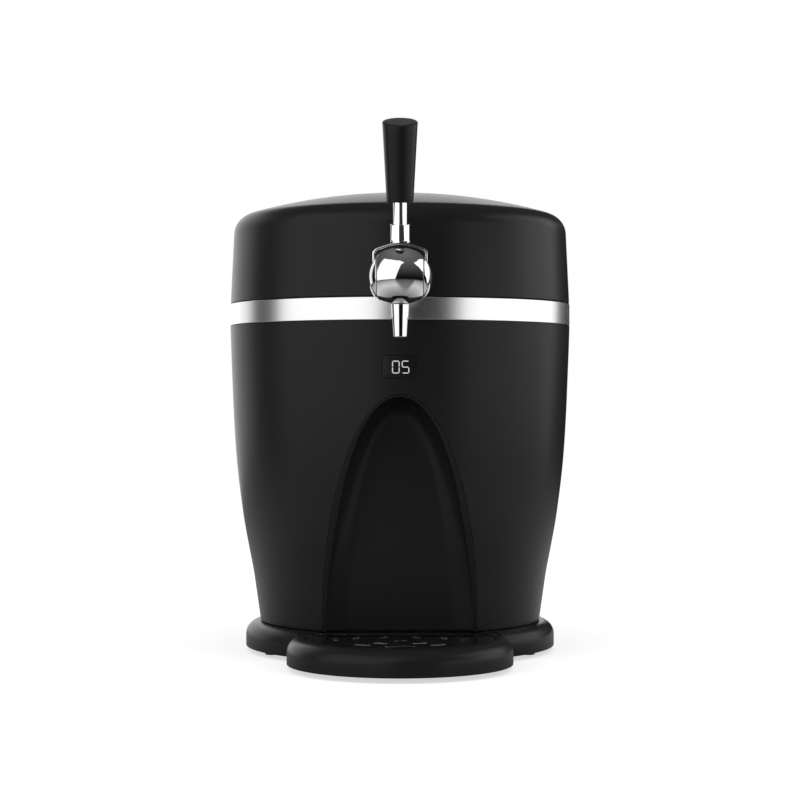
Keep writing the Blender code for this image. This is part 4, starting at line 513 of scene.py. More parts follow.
smooth_barrel(body_shell)
dress(body_shell, housing_black, "base", "black_housing", "body_shell")

# Niche panel
# A separate moulding clips into the arch for the glass: a chamfered frame that widens halfway up,
# then walls that run back in one hollow sweep to a rear wall which leans forward.
NICHE_REAR, NICHE_LEAN, WALL_REACH, SWEEP = -0.093, 0.012, 0.0175, 16
LIP, LIP_SINK = 0.0004, 0.00005
rim = arch_outline(SEAM, BODY_FOOT)
rows = []


def frame_width(height):
    return 0.0009 + 0.0038 * sin(pi * min(1, max(0, (height - BODY_FOOT) / (0.205 - BODY_FOOT))))


def niche_rear(height):
    return NICHE_REAR - NICHE_LEAN * (height - BODY_FOOT) / (0.2054 - BODY_FOOT)


def on_barrel(x, z, sink=0.0):
    return -sqrt(max((barrel_radius(z) - sink) ** 2 - x * x, 0))


def niche_row(inset_of, depth_of):
    """Adds a line round the arch, at an inset and a depth that follow the height of its rim."""
    row = []
    for i, (_, level) in enumerate(rim):
        x, z = arch_outline(SEAM + inset_of(level), BODY_FOOT)[i]
        row.append((x, depth_of(x, z, level), z))
    rows.append(row)


for inset, sink in ((0.0, 0.003), (0.0, 0.0004), (0.00015, 0.0001), (LIP, LIP_SINK)):
    niche_row(lambda level: inset, lambda x, z, level: on_barrel(x, z, sink))
for part in (0.25, 0.5, 0.75, 0.94):
    niche_row(
        lambda level: LIP + frame_width(level) * part,
        lambda x, z, level: on_barrel(x, z, LIP_SINK + 0.42 * frame_width(level) * part))
for step in range(SWEEP + 1):
    turn = step / SWEEP * pi / 2
    niche_row(
        lambda level: LIP + frame_width(level) + 0.0003 + WALL_REACH * (1 - cos(turn)),
        lambda x, z, level: (1 - sin(turn)) * on_barrel(x, z, 0.0005 + 0.46 * frame_width(level))
        + sin(turn) * niche_rear(z))
for part in (0.35, 0.7, 1.0):
    niche_row(
        lambda level: (0.0007 + frame_width(level) + WALL_REACH) * (1 - part) + (ARCH_HALF - SEAM) * part,
        lambda x, z, level: niche_rear(z))
niche = finish_mesh(lattice("niche_panel_moulded", rows, wrap=False), 50)
wall = niche.modifiers.new("wall", "SOLIDIFY")
wall.thickness = 0.0016
wall.offset = -1
dress(apply_all(niche), housing_black, "base", "black_housing", "niche_panel")


# Display
# A smoked gloss window sits flush in the shell over two lit digits, which show the temperature.
# The window follows the curve of the barrel and has a rounded edge.
def gloss(name, colour, rough, smudge=0.03, **sockets):
    """A polished finish whose shine varies a little with faint smudges."""
    smudged = [c * 0.9 + 0.002 for c in colour]
    return surface(
        name, grain_tree, (colour, smudged), "Grain", (rough, rough + smudge), "Patches",
        sockets=sockets, in_Grain_Size=6, in_Patch_Size=25)


lens_black = gloss("display_lens", (0.004, 0.004, 0.0045), 0.3)


def window_ring(inset, sink, radius, share=1.0):
    """The window's outline, inset and drawn in towards its middle, and sunk into the barrel."""
    ring = []
    for x, z in rounded_outline(DISPLAY_WIDE - 2 * inset, DISPLAY_TALL - 2 * inset, radius, steps=6):
        x, z = x * share, DISPLAY_HEIGHT + z * share
        ring.append((x, on_barrel(x, z, sink), z))
    return ring


lens_rows = [window_ring(inset, sink, 0.0013 - inset) for inset, sink in (
    (0, 0.0012), (0, 0.00035), (0.0001, 0.00012), (0.0003, 0.00004))]
for share in (0.985, 0.95, 0.9, 0.7, 0.5, 0.3, 0.12, 0.0):
    lens_rows.append(window_ring(0.0003, 0.00004, 0.001, share))
lens = finish_mesh(lattice("display_window", lens_rows), 60)
dress(lens, lens_black, "base", "display_lens", "display_lens")

digit_look, tree = new_material("lit_digits")
spot = add_node(tree, "TexCoord").outputs["Object"]
cells = add_node(tree, "TexNoise", in_Vector=spot, in_Scale=2500)
cells = add_node(tree, "MapRange", cells, 0, 1, 0.35, 0.5)
add_node(tree, "OutputMaterial", add_node(
    tree, "BsdfPrincipled", in_Base_Color=(0.3, 0.3, 0.3, 1), in_Roughness=cells,
    in_Emission_Color=(0.96, 1, 0.97, 1), in_Emission_Strength=0.42))
DIGIT_WIDE, DIGIT_TALL, STROKE, NICK = 0.0057, 0.0096, 0.00078, 0.00016
half_w, half_t = DIGIT_WIDE / 2 - STROKE / 2, DIGIT_TALL / 2 - STROKE / 2
SEGMENTS = {
    "a": ((-half_w, half_t), (half_w, half_t)), "b": ((half_w, half_t), (half_w, 0)),
    "c": ((half_w, 0), (half_w, -half_t)), "d": ((-half_w, -half_t), (half_w, -half_t)),
    "e": ((-half_w, 0), (-half_w, -half_t)), "f": ((-half_w, half_t), (-half_w, 0)),
    "g": ((-half_w, 0), (half_w, 0)),
}
digit_mesh = bpy.data.meshes.new("lit_digits")
digit_shape = bmesh.new()
for centre, lit in ((-0.0031, "abcdef"), (0.0041, "afgcd")):
    for key in lit:
        start, stop = map(Vector, SEGMENTS[key])
        along = (stop - start).normalized()
        side = Vector((-along.y, along.x)) * STROKE / 2
        start, stop, tip = start + along * NICK, stop - along * NICK, along * STROKE / 2
        ring = []
        low_side = (start, start + tip + side, stop - tip + side)
        for corner in (*low_side, stop, stop - tip - side, start + tip - side):
            x, z = centre + corner.x, DISPLAY_HEIGHT - 0.0003 + corner.y
            ring.append(digit_shape.verts.new((x, on_barrel(x, z, 0.00001), z)))
        digit_shape.faces.new(ring)
bmesh.ops.recalc_face_normals(digit_shape, faces=digit_shape.faces)
digit_shape.to_mesh(digit_mesh)
digit_shape.free()
dress(placed("display_digits", digit_mesh), digit_look, "base", "display_lens")

# Collar, trim band and keg well
# The collar ring closes the body round the aluminium well and carries the gasket's seat.
# The satin steel band clips round it, open at the rear for the hinge.
MM = 0.001


def eased(corners, closed=False, steps=5):
    """A path through (x, y, fillet) corners with each fillet drawn as a short curve."""
    path = []
    count = len(corners)
    for i, (x, y, radius) in enumerate(corners):
        here = Vector((x, y))
        if not radius or (not closed and i in (0, count - 1)):
            path.append((x, y))
            continue
        before = Vector(corners[i - 1][:2]) - here
        after = Vector(corners[(i + 1) % count][:2]) - here
        half = before.angle(after) / 2
        run = min(radius / tan(half), before.length * 0.49, after.length * 0.49)
        first, last = here + before.normalized() * run, here + after.normalized() * run
        guard = min(run * 0.5, before.length * 0.05, after.length * 0.05)
        path.append(tuple(first + before.normalized() * guard))
        for s in range(steps + 1):
            t = s / steps
            path.append(tuple(first * (1 - t) ** 2 + here * 2 * t * (1 - t) + last * t ** 2))
        path.append(tuple(last + after.normalized() * guard))
    return path


def moved(made, matrix):
    made.data.transform(matrix)
    return made


def spun(name, corners, place=Matrix(), closed=False, ease=5, **how):
    """A piece turned from (radius, height, fillet) corners in millimetres, and put in its place."""
    path = eased([tuple(value * MM for value in corner) for corner in corners], closed, ease)
    return moved(turned(name, path, closed, **how), place)


collar = spun("collar_ring", [
    (135.8, 277.5, 0.6), (135.8, 260.3, 0), (134.1, 260.3, 0), (134.1, 252, 0),
    (131.6, 252, 0), (131.6, 274.5, 1), (90.3, 274.5, 0), (90.3, 277.5, 0.5)], closed=True, steps=192)
dress(collar, housing_black, "base", "black_housing", "top_collar")

brushed_tree, given, put_out = node_group("brushed_lines", {"Line Size": 0.25}, ("Lines", "Soft"))
spot = add_node(brushed_tree, "TexCoord").outputs["Object"]
stretch = add_node(brushed_tree, "Mapping", in_Vector=spot, in_Scale=(6, 6, 1000), vector_type="POINT")
thin = add_node(brushed_tree, "Math", 1, given["Line Size"], operation="DIVIDE")
lines = add_node(brushed_tree, "TexNoise", in_Vector=stretch, in_Scale=thin, in_Detail=4, in_Roughness=0.7)
cloud = add_node(brushed_tree, "TexNoise", in_Vector=spot, in_Scale=14, in_Detail=2)
brushed_tree.links.new(lines.outputs[0], put_out["Lines"])
brushed_tree.links.new(cloud.outputs[0], put_out["Soft"])


def brushed(name, colour, rough, spread, line, depth):
    """Metal with fine lines that run round the Z axis."""
    return surface(
        name, brushed_tree, (colour, [c * 0.9 for c in colour]), "Soft",
        (rough - spread / 2, rough + spread / 2), "Lines", ("Lines", depth, 0.00005),
        {"in_Metallic": 1.0}, in_Line_Size=line)


satin_steel = brushed("satin_band", (0.97, 0.97, 0.972), 0.27, 0.02, 0.25, 0.003)
band_open = asin(0.0306 / 0.1369)
band = spun(
    "steel_band", [(136.9, 277.5, 0.3), (136.9, 260.6, 0.3), (136.1, 260.6, 0), (136.1, 277.5, 0)],
    closed=True, ease=3, steps=240, start=pi / 2 + band_open, sweep=TURN - 2 * band_open)
dress(band, satin_steel, "base", "satin_band", "trim_band")

aluminium = brushed("aluminium", (0.66, 0.67, 0.68), 0.34, 0.12, 0.5, 0.1)
well = spun("keg_well_drawn", [
    (0, 30, 0), (88.5, 30, 6), (88.5, 279.3, 0.8), (95, 279.3, 0.6),
    (95, 277.8, 0.4), (90, 277.8, 0.6), (90, 28.5, 6), (0, 28.5, 0)], steps=160)
dress(well, aluminium, "base", "aluminium", "keg_well")

# Lid
# The lid is a black dome over a foam core, with a light grey liner pushed up into it.
# Its side leans in a little and turns over a soft shoulder into a nearly flat top.
lid_black = moulded("lid_shell", (0.0115, 0.0115, 0.012), 0.32, specular=0.2)
LID_FOOT, LID_SIDE_TOP = Vector((0.1366, 0.2795)), Vector((0.1342, 0.33))
DOME_TOP, DOME_RADIUS, SHOULDER_RADIUS = 0.3667, 0.441, 0.0166


def dome_path(inset):
    """The lid's outline from its side over the shoulder to the middle of its top."""
    up = (LID_SIDE_TOP - LID_FOOT).normalized()
    inward = Vector((-up.y, up.x))
    crown = Vector((0, DOME_TOP - DOME_RADIUS))
    start = LID_FOOT + inward * SHOULDER_RADIUS - crown
    lean = start.dot(up)
    rise = -lean + sqrt(lean ** 2 - start.dot(start) + (DOME_RADIUS - SHOULDER_RADIUS) ** 2)
    centre = crown + start + up * rise
    first = atan2(-inward.y, -inward.x)
    last = atan2(*reversed(centre - crown))
    path = []
    for i in range(21):
        angle = first + (last - first) * i / 20
        reach = SHOULDER_RADIUS - inset
        path.append((centre.x + reach * cos(angle), centre.y + reach * sin(angle)))
    for i in range(1, 25):
        angle = last + (pi / 2 - last) * i / 24
        reach = DOME_RADIUS - inset
        path.append((reach * cos(angle) if i < 24 else 0.0, crown.y + reach * sin(angle)))
    return path


side_outer = eased([(0.1341, 0.2781, 0), (0.1366, 0.2781, 0.0009), (*LID_SIDE_TOP, 0)])[1:-1]
side_outer += [tuple(LID_FOOT.lerp(LID_SIDE_TOP, i / 8)) for i in range(1, 9)]
lid_path = dome_path(SHELL)[::-1] + [(0.1341, 0.2781)] + side_outer + dome_path(0)
dress(turned("lid_dome", lid_path, steps=256, sharp=45), lid_black, "lid", "lid_shell", "lid_shell")
liner_grey = moulded("liner_grey", (0.42, 0.43, 0.44), 0.42, 0.08, 0.5, 0.1, 0.05)
liner = spun("lid_liner_moulded", [
    (0, 339.7, 0), (100, 339.7, 4), (100, 281.6, 1), (133.5, 281.6, 0.6),
    (133.5, 279.6, 0.6), (98, 279.6, 3), (98, 337.7, 6), (0, 337.7, 0)], steps=160)
dress(liner, liner_grey, "lid", "liner_grey", "lid_liner")
foam_look = moulded("foam", (0.78, 0.75, 0.64), 0.85, 0.6, 1.2, 0.08, 0.08, 0.2)
filling_path = [(0, 0.34), (0.1003, 0.34), (0.1003, 0.2819), (0.1331, 0.2819)] + dome_path(SHELL + LIP)
dress(turned("lid_filling", filling_path, steps=128), foam_look, "lid", "foam", "lid_foam")
rubber = moulded("rubber", (0.022, 0.022, 0.022), 0.72, 0.3, 0.7, 0.1, 0.03, 0.4)
gasket = spun("lid_gasket_ring", [
    (105, 279.3, 0.4), (105, 277.8, 0.7), (99, 277.8, 0.7), (99, 279.3, 0.4)], closed=True, steps=160)
dress(gasket, rubber, "lid", "rubber", "lid_gasket")

# Keg coupler
# A light grey coupler on a post under the lid presses on the keg, with a rubber seal beneath
# and a soft clear line from its port to the shank of the tap.
coupler = spun("keg_coupler_turned", [
    (0, 312, 0), (14, 312, 1), (14, 300, 0.6), (12.5, 299.5, 0.6), (12.5, 290, 0.8),
    (14, 289.3, 0.6), (14, 286, 1.5), (21, 286, 0.8), (21, 281, 1), (0, 281, 0)], ease=4, steps=64)
dress(coupler, liner_grey, "lid", "liner_grey", "keg_coupler")
forward = Matrix.Rotation(90 * DEGREE, 4, "X")
port = spun("coupler_port", [
    (0, 0, 0), (5, 0, 0), (5, 18, 0.4), (4.3, 18.5, 0.3), (4.3, 21, 0.3), (5, 21.5, 0.3), (4.6, 23, 0.4),
    (0, 23, 0)], Matrix.Translation((0, 0, 0.303)) @ forward, ease=3, steps=40)
dress(port, liner_grey, "lid", "liner_grey")
post = spun("coupler_post_turned", [
    (0, 337.4, 0), (18, 337.4, 0.6), (18, 334.4, 1.2), (10, 334.4, 3),
    (10, 312.3, 0.6), (0, 312.3, 0)], steps=64)
dress(post, liner_grey, "lid", "liner_grey", "coupler_post")

# Tap
# A chromed ball on a short neck carries the nozzle. The ball is a slice of a sphere:
# its top is cut in an arch under the lever's hood, and the lever's cheeks complete its sides.
chrome = gloss("chrome", (0.92, 0.925, 0.93), 0.02, 0.02, in_Metallic=1.0)
TAP = Vector((0, -0.168, 0.2905))
BALL, HALF_SLICE, SLICE_EDGE = 0.0237, 0.01685, 0.0005
ARCH_RADIUS, ARCH_TOP = 0.036, 0.0203


def edge_rounded(made, width, segments, limit=50):
    """Sets a rounding on the edges of a piece that turn by more than a limit."""
    step = made.modifiers.new("edge", "BEVEL")
    step.width = width
    step.segments = segments
    step.limit_method = "ANGLE"
    step.angle_limit = limit * DEGREE
    return made


def on_ball(angle):
    return BALL * cos(angle), BALL * sin(angle)


slice_angle = asin((HALF_SLICE - SLICE_EDGE) / BALL) * 0.93
half_path = eased([
    (0, HALF_SLICE, 0), (sqrt(BALL ** 2 - HALF_SLICE ** 2), HALF_SLICE, SLICE_EDGE),
    (*on_ball(slice_angle), 0)], steps=4)[1:]
ball_path = [(0, HALF_SLICE)] + half_path + [on_ball(slice_angle * (1 - i / 12)) for i in range(1, 24)]
ball_path += [(r, -z) for r, z in half_path[::-1]] + [(0, -HALF_SLICE)]
ball = moved(turned("tap_ball", ball_path, steps=128, sharp=30),
             Matrix.Translation(TAP) @ Matrix.Rotation(90 * DEGREE, 4, "Y"))
arch_points = [(-0.03, TAP.z + 0.05)]
for i in range(25):
    angle = (-38 + 76 * i / 24) * DEGREE
    arch_points.append((
        ARCH_RADIUS * sin(angle), TAP.z + ARCH_TOP - ARCH_RADIUS + ARCH_RADIUS * cos(angle)))
arch_points.append((0.03, TAP.z + 0.05))
foot_path = [
    (0, -0.0198), (0.007, -0.0198), (0.0105, -0.0187), (0.016, -0.0169),
    (0.0187, -0.0146), (0.03, -0.003), (0.03, -0.0505), (0, -0.0505)]
foot_tool = moved(turned("foot_tool", foot_path), Matrix.Translation(TAP))
cut(ball, slab("arch_tool", arch_points, -0.2, -0.14), foot_tool)
shaded(apply_all(edge_rounded(ball, 0.0007, 4)), 40)
dress(ball, chrome, "lid", "chrome", "tap_body")


def keep_out(shy_pieces, *pieces):
    """Keeps a cloth or the floor out of the reflections in these pieces."""
    for piece in pieces:
        shy_pieces.objects.link(piece)
    for row in shy_pieces.collection_objects:
        row.light_linking.link_state = "EXCLUDE"


keep_out(ball_pieces, ball)
shank_place = Matrix.Translation((0, 0, TAP.z)) @ forward
neck = spun("tap_neck", [
    (0, 141.5, 0), (10.5, 141.5, 0.6), (10.5, 143.2, 0.6), (9, 144, 0.5), (9, 148, 0), (0, 148, 0)],
    shank_place, steps=64)
dress(neck, chrome, "lid", "chrome")
flange = spun("tap_flange_turned", [
    (0, 135, 0), (15, 135, 0), (15, 141.1, 1.6), (11.2, 141.1, 0.4),
    (11.2, 140.5, 0.3), (0, 140.5, 0)], shank_place)
dress(flange, chrome, "lid", "chrome", "tap_flange")
nozzle = spun("tap_nozzle_turned", [
    (0, -20.1, 0), (6.6, -20.1, 0.3), (5.2, -43.9, 0.4), (4, -43.9, 0.3), (3.6, -39.1, 0), (0, -38.7, 0)],
    Matrix.Translation(TAP), ease=4)
dress(nozzle, chrome, "lid", "chrome", "tap_nozzle")

# Lever
# A chromed yoke straddles the ball: two cheeks shaped as the missing caps of the sphere,
# a thin strap over the top, and on it the collar and rod that carry the black grip.
lever_place = Matrix.Translation(TAP) @ Matrix.Rotation(10 * DEGREE, 4, "X")
CHEEK_FOOT, CHEEK_EDGE = 0.01715, 0.0007
foot_angle = asin(CHEEK_FOOT / BALL)
cheek_path = [(0, CHEEK_FOOT)] + eased([
    (0, CHEEK_FOOT, 0), (BALL * cos(foot_angle), CHEEK_FOOT, CHEEK_EDGE),
    (*on_ball(foot_angle + 0.1), 0)], steps=4)[1:]
cheek_path += [on_ball(foot_angle + 0.1 + (pi / 2 - foot_angle - 0.1) * i / 14) for i in range(1, 14)]
cheek_path.append((0.0, BALL))
for side_name, sign in (("left", -1), ("right", 1)):
    cheek = turned(f"lever_cheek_{side_name}", cheek_path, steps=128, sharp=30)
    moved(cheek, lever_place @ Matrix.Rotation(sign * 90 * DEGREE, 4, "Y"))
    dress(cheek, chrome, "lever", "chrome", *(("lever_yoke",) if sign < 0 else ()))
    keep_out(ball_pieces, cheek)
HOOD_HALF, HOOD_INNER, HOOD_WALL = 0.01985, 0.0242, 0.0015
HOOD_DROP, HOOD_EDGE, HOOD_FOOT = 0.0044, 0.0024, 0.005
hood_top = HOOD_INNER + HOOD_WALL
shoulder = HOOD_HALF - HOOD_EDGE


def hood_line(half, shoulder, top, crown, corner):
    """One side of the strap's sheet, from foot to foot over its bent top."""
    side = top - HOOD_DROP - HOOD_EDGE
    return eased([
        (-half, HOOD_FOOT, 0), (-half, side, corner), (-shoulder, top - HOOD_DROP, 0.002),
        (0, top + crown, 0.03), (shoulder, top - HOOD_DROP, 0.002), (half, side, corner),
        (half, HOOD_FOOT, 0)], steps=8)


outer_line = hood_line(HOOD_HALF, shoulder, hood_top, 0.0012, 0.0016)
inner_line = hood_line(HOOD_HALF - HOOD_WALL, shoulder - HOOD_WALL / 2, HOOD_INNER, 0.001, 0.0014)
hood = slab("lever_hood", outer_line + inner_line[::-1], -0.0065, 0.012)
shaded(apply_all(edge_rounded(hood, 0.0005, 3)), 40)
dress(moved(hood, lever_place), chrome, "lever", "chrome")
keep_out(ball_pieces, hood)
hood.visible_glossy = False
collar_piece = spun("lever_collar_turned", [
    (0, 38.3, 0), (7.25, 38.3, 0.5), (7.25, 26.7, 1.2), (7.6, 25.3, 0), (0, 25.3, 0)], lever_place)
dress(collar_piece, chrome, "lever", "chrome", "lever_collar")
rod_piece = spun(
    "lever_rod_turned", [(0, 38.3, 0), (5.3, 38.3, 0), (5.3, 74.3, 0.3), (0, 74.3, 0)], lever_place)
dress(rod_piece, chrome, "lever", "chrome", "lever_rod")
for piece in (hood, collar_piece, rod_piece):
    lever_pieces.objects.link(piece)
keep_out(floor_shy_pieces, hood, collar_piece, rod_piece)

# Grip
# A tapered black handle moulded on the end of the rod, wider at its slanted top.
grip_black = moulded("grip_black", (0.008, 0.008, 0.0083), 0.36, 0.05, 0.3, specular=0.25)
FOOT_R, HEAD_R, GRIP_LOW, GRIP_LONG, SLANT = 0.0098, 0.01285, 0.0543, 0.0575, tan(11.6 * DEGREE)
GRIP_HOLE, GRIP_EDGE = 0.0054, 0.0007
GRIP_ANGLES = [TURN * i / 96 for i in range(96)]


def grip_top(radius, angle):
    return GRIP_LOW + GRIP_LONG + SLANT * radius * sin(angle)


def grip_ring(level, inset, drop=0.0):
    """One ring of the grip: level 0 is its foot and 1 its slanted top."""
    ring = []
    for angle in GRIP_ANGLES:
        radius = FOOT_R
        for _ in range(3):
            rise = (grip_top(radius, angle) - GRIP_LOW) * level
            radius = FOOT_R + (HEAD_R - FOOT_R) * rise / GRIP_LONG
        radius -= inset
        z = GRIP_LOW + (grip_top(radius, angle) - GRIP_LOW) * level - drop
        ring.append((radius * cos(angle), radius * sin(angle), z))
    return ring


quarter_turns = [pi / 2 * i / 4 for i in range(5)]
grip_rows = [[(GRIP_HOLE * cos(a), GRIP_HOLE * sin(a), GRIP_LOW + 0.0004) for a in GRIP_ANGLES]]
for a in quarter_turns:
    grip_rows.append(grip_ring(0, GRIP_EDGE * (1 - sin(a)), -GRIP_EDGE * (1 - cos(a))))
grip_rows += [grip_ring(0.02 + 0.96 * i / 12, 0) for i in range(1, 12)]
for a in quarter_turns:
    grip_rows.append(grip_ring(1, GRIP_EDGE * (1 - cos(a)), GRIP_EDGE * (1 - sin(a))))
head_ring = grip_rows[-1]
for share in (0.75, 0.5, 0.25, 0.0):
    grip_rows.append([
        (x * share, y * share, GRIP_LOW + GRIP_LONG + SLANT * y * share) for x, y, z in head_ring])
grip = moved(finish_mesh(lattice("grip_handle", grip_rows), 40), lever_place)
dress(grip, grip_black, "lever", "grip_black", "lever_grip")

# Base
# The plinth is a rounded ring of black plastic under the barrel and the rear housing.
# Its front is cut for the tray, and six rubber feet lift it off the table.
CORNER_X, CORNER_Y, PLINTH_TOP, PLINTH_WALL = 0.06, 0.176, 0.0236, 0.003
PLINTH_CIRCLES = ((0, 0, 0.1243), (CORNER_X, CORNER_Y, 0.037), (-CORNER_X, CORNER_Y, 0.037))


def plinth_line(inset):
    outline = []
    for i in range(240):
        angle = TURN * i / 240
        along = (cos(angle), sin(angle))
        x, y, r = max(PLINTH_CIRCLES, key=lambda c: c[0] * along[0] + c[1] * along[1] + c[2])
        outline.append((x + (r - inset) * along[0], y + (r - inset) * along[1]))
    return outline


def stacked(name, outline_of, levels):
    """A solid through outlines at (inset, height) levels, with flat ends."""
    rows = [[(x, y, z) for x, y in outline_of(inset)] for inset, z in levels]
    made = lattice(name, rows)
    shape = bmesh.new()
    shape.from_mesh(made.data)
    shape.verts.ensure_lookup_table()
    count = len(rows[0])
    shape.faces.new(shape.verts[:count])
    shape.faces.new(shape.verts[-count:])
    bmesh.ops.recalc_face_normals(shape, faces=shape.faces)
    shape.to_mesh(made.data)
    shape.free()
    return made


def rounded_levels(low, high, radius, foot=0.0008, inset=0.0, steps=10):
    """Levels of a wall that ends in a small slant below and in a quarter circle above."""
    levels = [(inset, low)]
    if foot:
        levels = [(inset + foot, low), (inset + foot * 0.3, low + foot * 0.3), (inset, low + foot)]
    for i in range(steps + 1):
        angle = pi / 2 * i / steps
        levels.append((inset + radius * (1 - cos(angle)), high - radius + radius * sin(angle)))
    return levels


def clipped(centre, radius, rear, steps=160):
    """A circle in front of a straight rear edge."""
    start = acos((rear - centre) / radius)
    angles = [start + (TURN - 2 * start) * i / steps for i in range(steps + 1)]
    return [(-radius * sin(angle), centre + radius * cos(angle)) for angle in angles]


TRAY_CENTRE, TRAY_RADIUS, TRAY_REAR, TRAY_GAP = -0.1283, 0.0847, -0.091, 0.0005
plinth = stacked("plinth_moulded", plinth_line, rounded_levels(0.0038, PLINTH_TOP, 0.0108, 0.0004))
hollow_levels = rounded_levels(-0.004, PLINTH_TOP - PLINTH_WALL, 0.0108 - PLINTH_WALL, 0, PLINTH_WALL)
pocket_line = clipped(TRAY_CENTRE, TRAY_RADIUS + TRAY_GAP, TRAY_REAR + TRAY_GAP)
cut(
    plinth, stacked("plinth_hollow", plinth_line, hollow_levels),
    slab("tray_pocket", pocket_line, -0.01, 0.03, "XY"))
dress(shaded(plinth, 40), housing_black, "base", "black_housing", "base_plinth")


def middle_of(node):
    low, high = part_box(node)
    return (low + high) / 2


for place_name in ("front", "rear", "tray"):
    for side_name in ("left", "right"):
        node = f"foot_{place_name}_{side_name}"
        middle = middle_of(node)
        foot = spun(f"{node}_pad", [
            (0, 5, 0), (6, 5, 0), (6, 0, 0.9), (3.5, 0, 0.2), (3.2, 0.4, 0.2), (0, 0.4, 0)],
            Matrix.Translation((middle.x, middle.y, 0)), ease=4, steps=48)
        dress(foot, rubber, "base", "rubber", node)

# Drip tray
# A round basin with a fat rounded rim pulls out from under the niche. Its grid is a gloss black
# plate on a ledge, with short slots in two rings, cut straight at the rear as the tray is.
RIM_CENTRE, RIM_MIDDLE, RIM_ROUNDING, RIM_WALL = 0.0124, 0.0735, 0.0112, 0.0025
LIP_WIDE, LIP_TALL = 0.0025, 0.001
GRID_LOW, GRID_TOP, GRID_REACH, BASIN_REACH = 0.0194, 0.0224, 0.0704, 0.0722


def quarter(low, wide, tall, steps, falling=True):
    """A quarter of an ellipse over the rim's middle, from its top outwards or the other way."""
    angles = [pi / 2 * i / steps for i in range(steps + 1)]
    return [
        (RIM_MIDDLE + wide * sin(angle), low + tall * cos(angle))
        for angle in (angles if falling else angles[::-1])]


tray_profile = [(0, 0.0096), (0.0655, 0.0096), (0.066, 0.0101), (0.066, 0.0191), (0.071, 0.0191)]
tray_profile += quarter(GRID_TOP + 0.0002, -LIP_WIDE, LIP_TALL, 8, falling=False)
tray_profile += quarter(RIM_CENTRE, RIM_ROUNDING, RIM_ROUNDING, 16)
tray_profile += eased([(TRAY_RADIUS, 0.0118, 0), (TRAY_RADIUS, 0.0038, 0.0005), (0.0822, 0.0038, 0)])[1:]
tray_profile += quarter(RIM_CENTRE, RIM_ROUNDING - RIM_WALL, RIM_ROUNDING - RIM_WALL, 8, falling=False)
tray_profile += [(RIM_MIDDLE, 0.0166), (0.0685, 0.0166), (0.0685, 0.0071), (0, 0.0071)]
tray = moved(turned("drip_tray_moulded", tray_profile, steps=256), Matrix.Translation((0, TRAY_CENTRE, 0)))
behind = [(-0.1, TRAY_REAR), (0.1, TRAY_REAR), (0.1, 0.1), (-0.1, 0.1)]
cut(tray, slab("behind_tray", behind, -0.01, 0.04, "XY"))
wall_front = TRAY_REAR - 0.0093
half_back = sqrt(BASIN_REACH ** 2 - (TRAY_REAR - TRAY_CENTRE) ** 2)
half_fore = sqrt(BASIN_REACH ** 2 - (wall_front - TRAY_CENTRE) ** 2)
rear_wall = slab("rear_wall", [
    (-half_fore, wall_front), (half_fore, wall_front), (half_back, TRAY_REAR), (-half_back, TRAY_REAR),
], 0.0072, GRID_TOP, "XY")
cut(tray, apply_all(edge_rounded(rear_wall, 0.0005, 3)), operation="UNION")
dress(shaded(tray, 35), housing_black, "tray", "black_housing", "drip_tray")

grid_gloss = gloss("gloss_black", (0.006, 0.006, 0.0065), 0.06, 0.05)


def slot_line(ring, turn, length, width):
    out_way = Vector((sin(turn), -cos(turn)))
    along = Vector((cos(turn), sin(turn)))
    middle = Vector((0, TRAY_CENTRE)) + out_way * ring
    outline = []
    for i in range(24):
        angle = TURN * (i + 0.5) / 24
        run = copysign((length - width) / 2, cos(angle)) + width / 2 * cos(angle)
        outline.append(tuple(middle + along * run + out_way * (width / 2 * sin(angle))))
    return outline


def flat_shaded(made, sharp=40):
    """Smooth shading whose normals follow the large faces, so that flat ones stay flat."""
    shaded(made, sharp).modifiers.new("normals", "WEIGHTED_NORMAL").keep_sharp = True
    return apply_all(made)


SLOTS = [(0.05, 0, 0.0215, 0.0036)]
SLOTS += [(0.0485, turn, 0.012, 0.0036) for turn in (-83, -34.5, 34.5, 83)]
SLOTS += [(0.033, turn, 0.011, 0.0036) for turn in (-98, -26, 26, 98)]
SLOTS += [(0.014, turn, 0.008, 0.0032) for turn in (0, 120, 240)]
slot_lines = [slot_line(ring, turn * DEGREE, long, wide) for ring, turn, long, wide in SLOTS]
grid = slab("grid_plate", clipped(TRAY_CENTRE, GRID_REACH, wall_front - 0.0003), GRID_LOW, GRID_TOP, "XY")
cut(grid, *[slab("slot_tool", line, 0.01, 0.03, "XY") for line in slot_lines])
flat_shaded(edge_rounded(grid, 0.0006, 4), 60)
dress(grid, grid_gloss, "grid", "gloss_black", "drip_grid")


def wire(name, line, thick):
    """A thin polished edge that follows a closed line, slightly proud of the plate."""
    rows = []
    for side, rise in ((0, -thick), (-thick, -thick), (-thick, 0), (0, 0)):
        row = []
        for i, (x, y) in enumerate(line):
            (x0, y0), (x1, y1) = line[i - 1], line[(i + 1) % len(line)]
            across = Vector((y1 - y0, x0 - x1)).normalized() * side
            row.append((x + across.x, y + across.y, GRID_TOP + 0.00005 + rise))
        rows.append(row)
    dress(finish_mesh(lattice(name, rows, close=True), 60), satin_steel, "grid", "gloss_black")


wire("grid_rim", clipped(TRAY_CENTRE, GRID_REACH - 0.0003, wall_front - 0.0006), 0.0006)
for i, line in enumerate(slot_lines):
    wire(f"slot_rim_{i}", line, 0.0004)

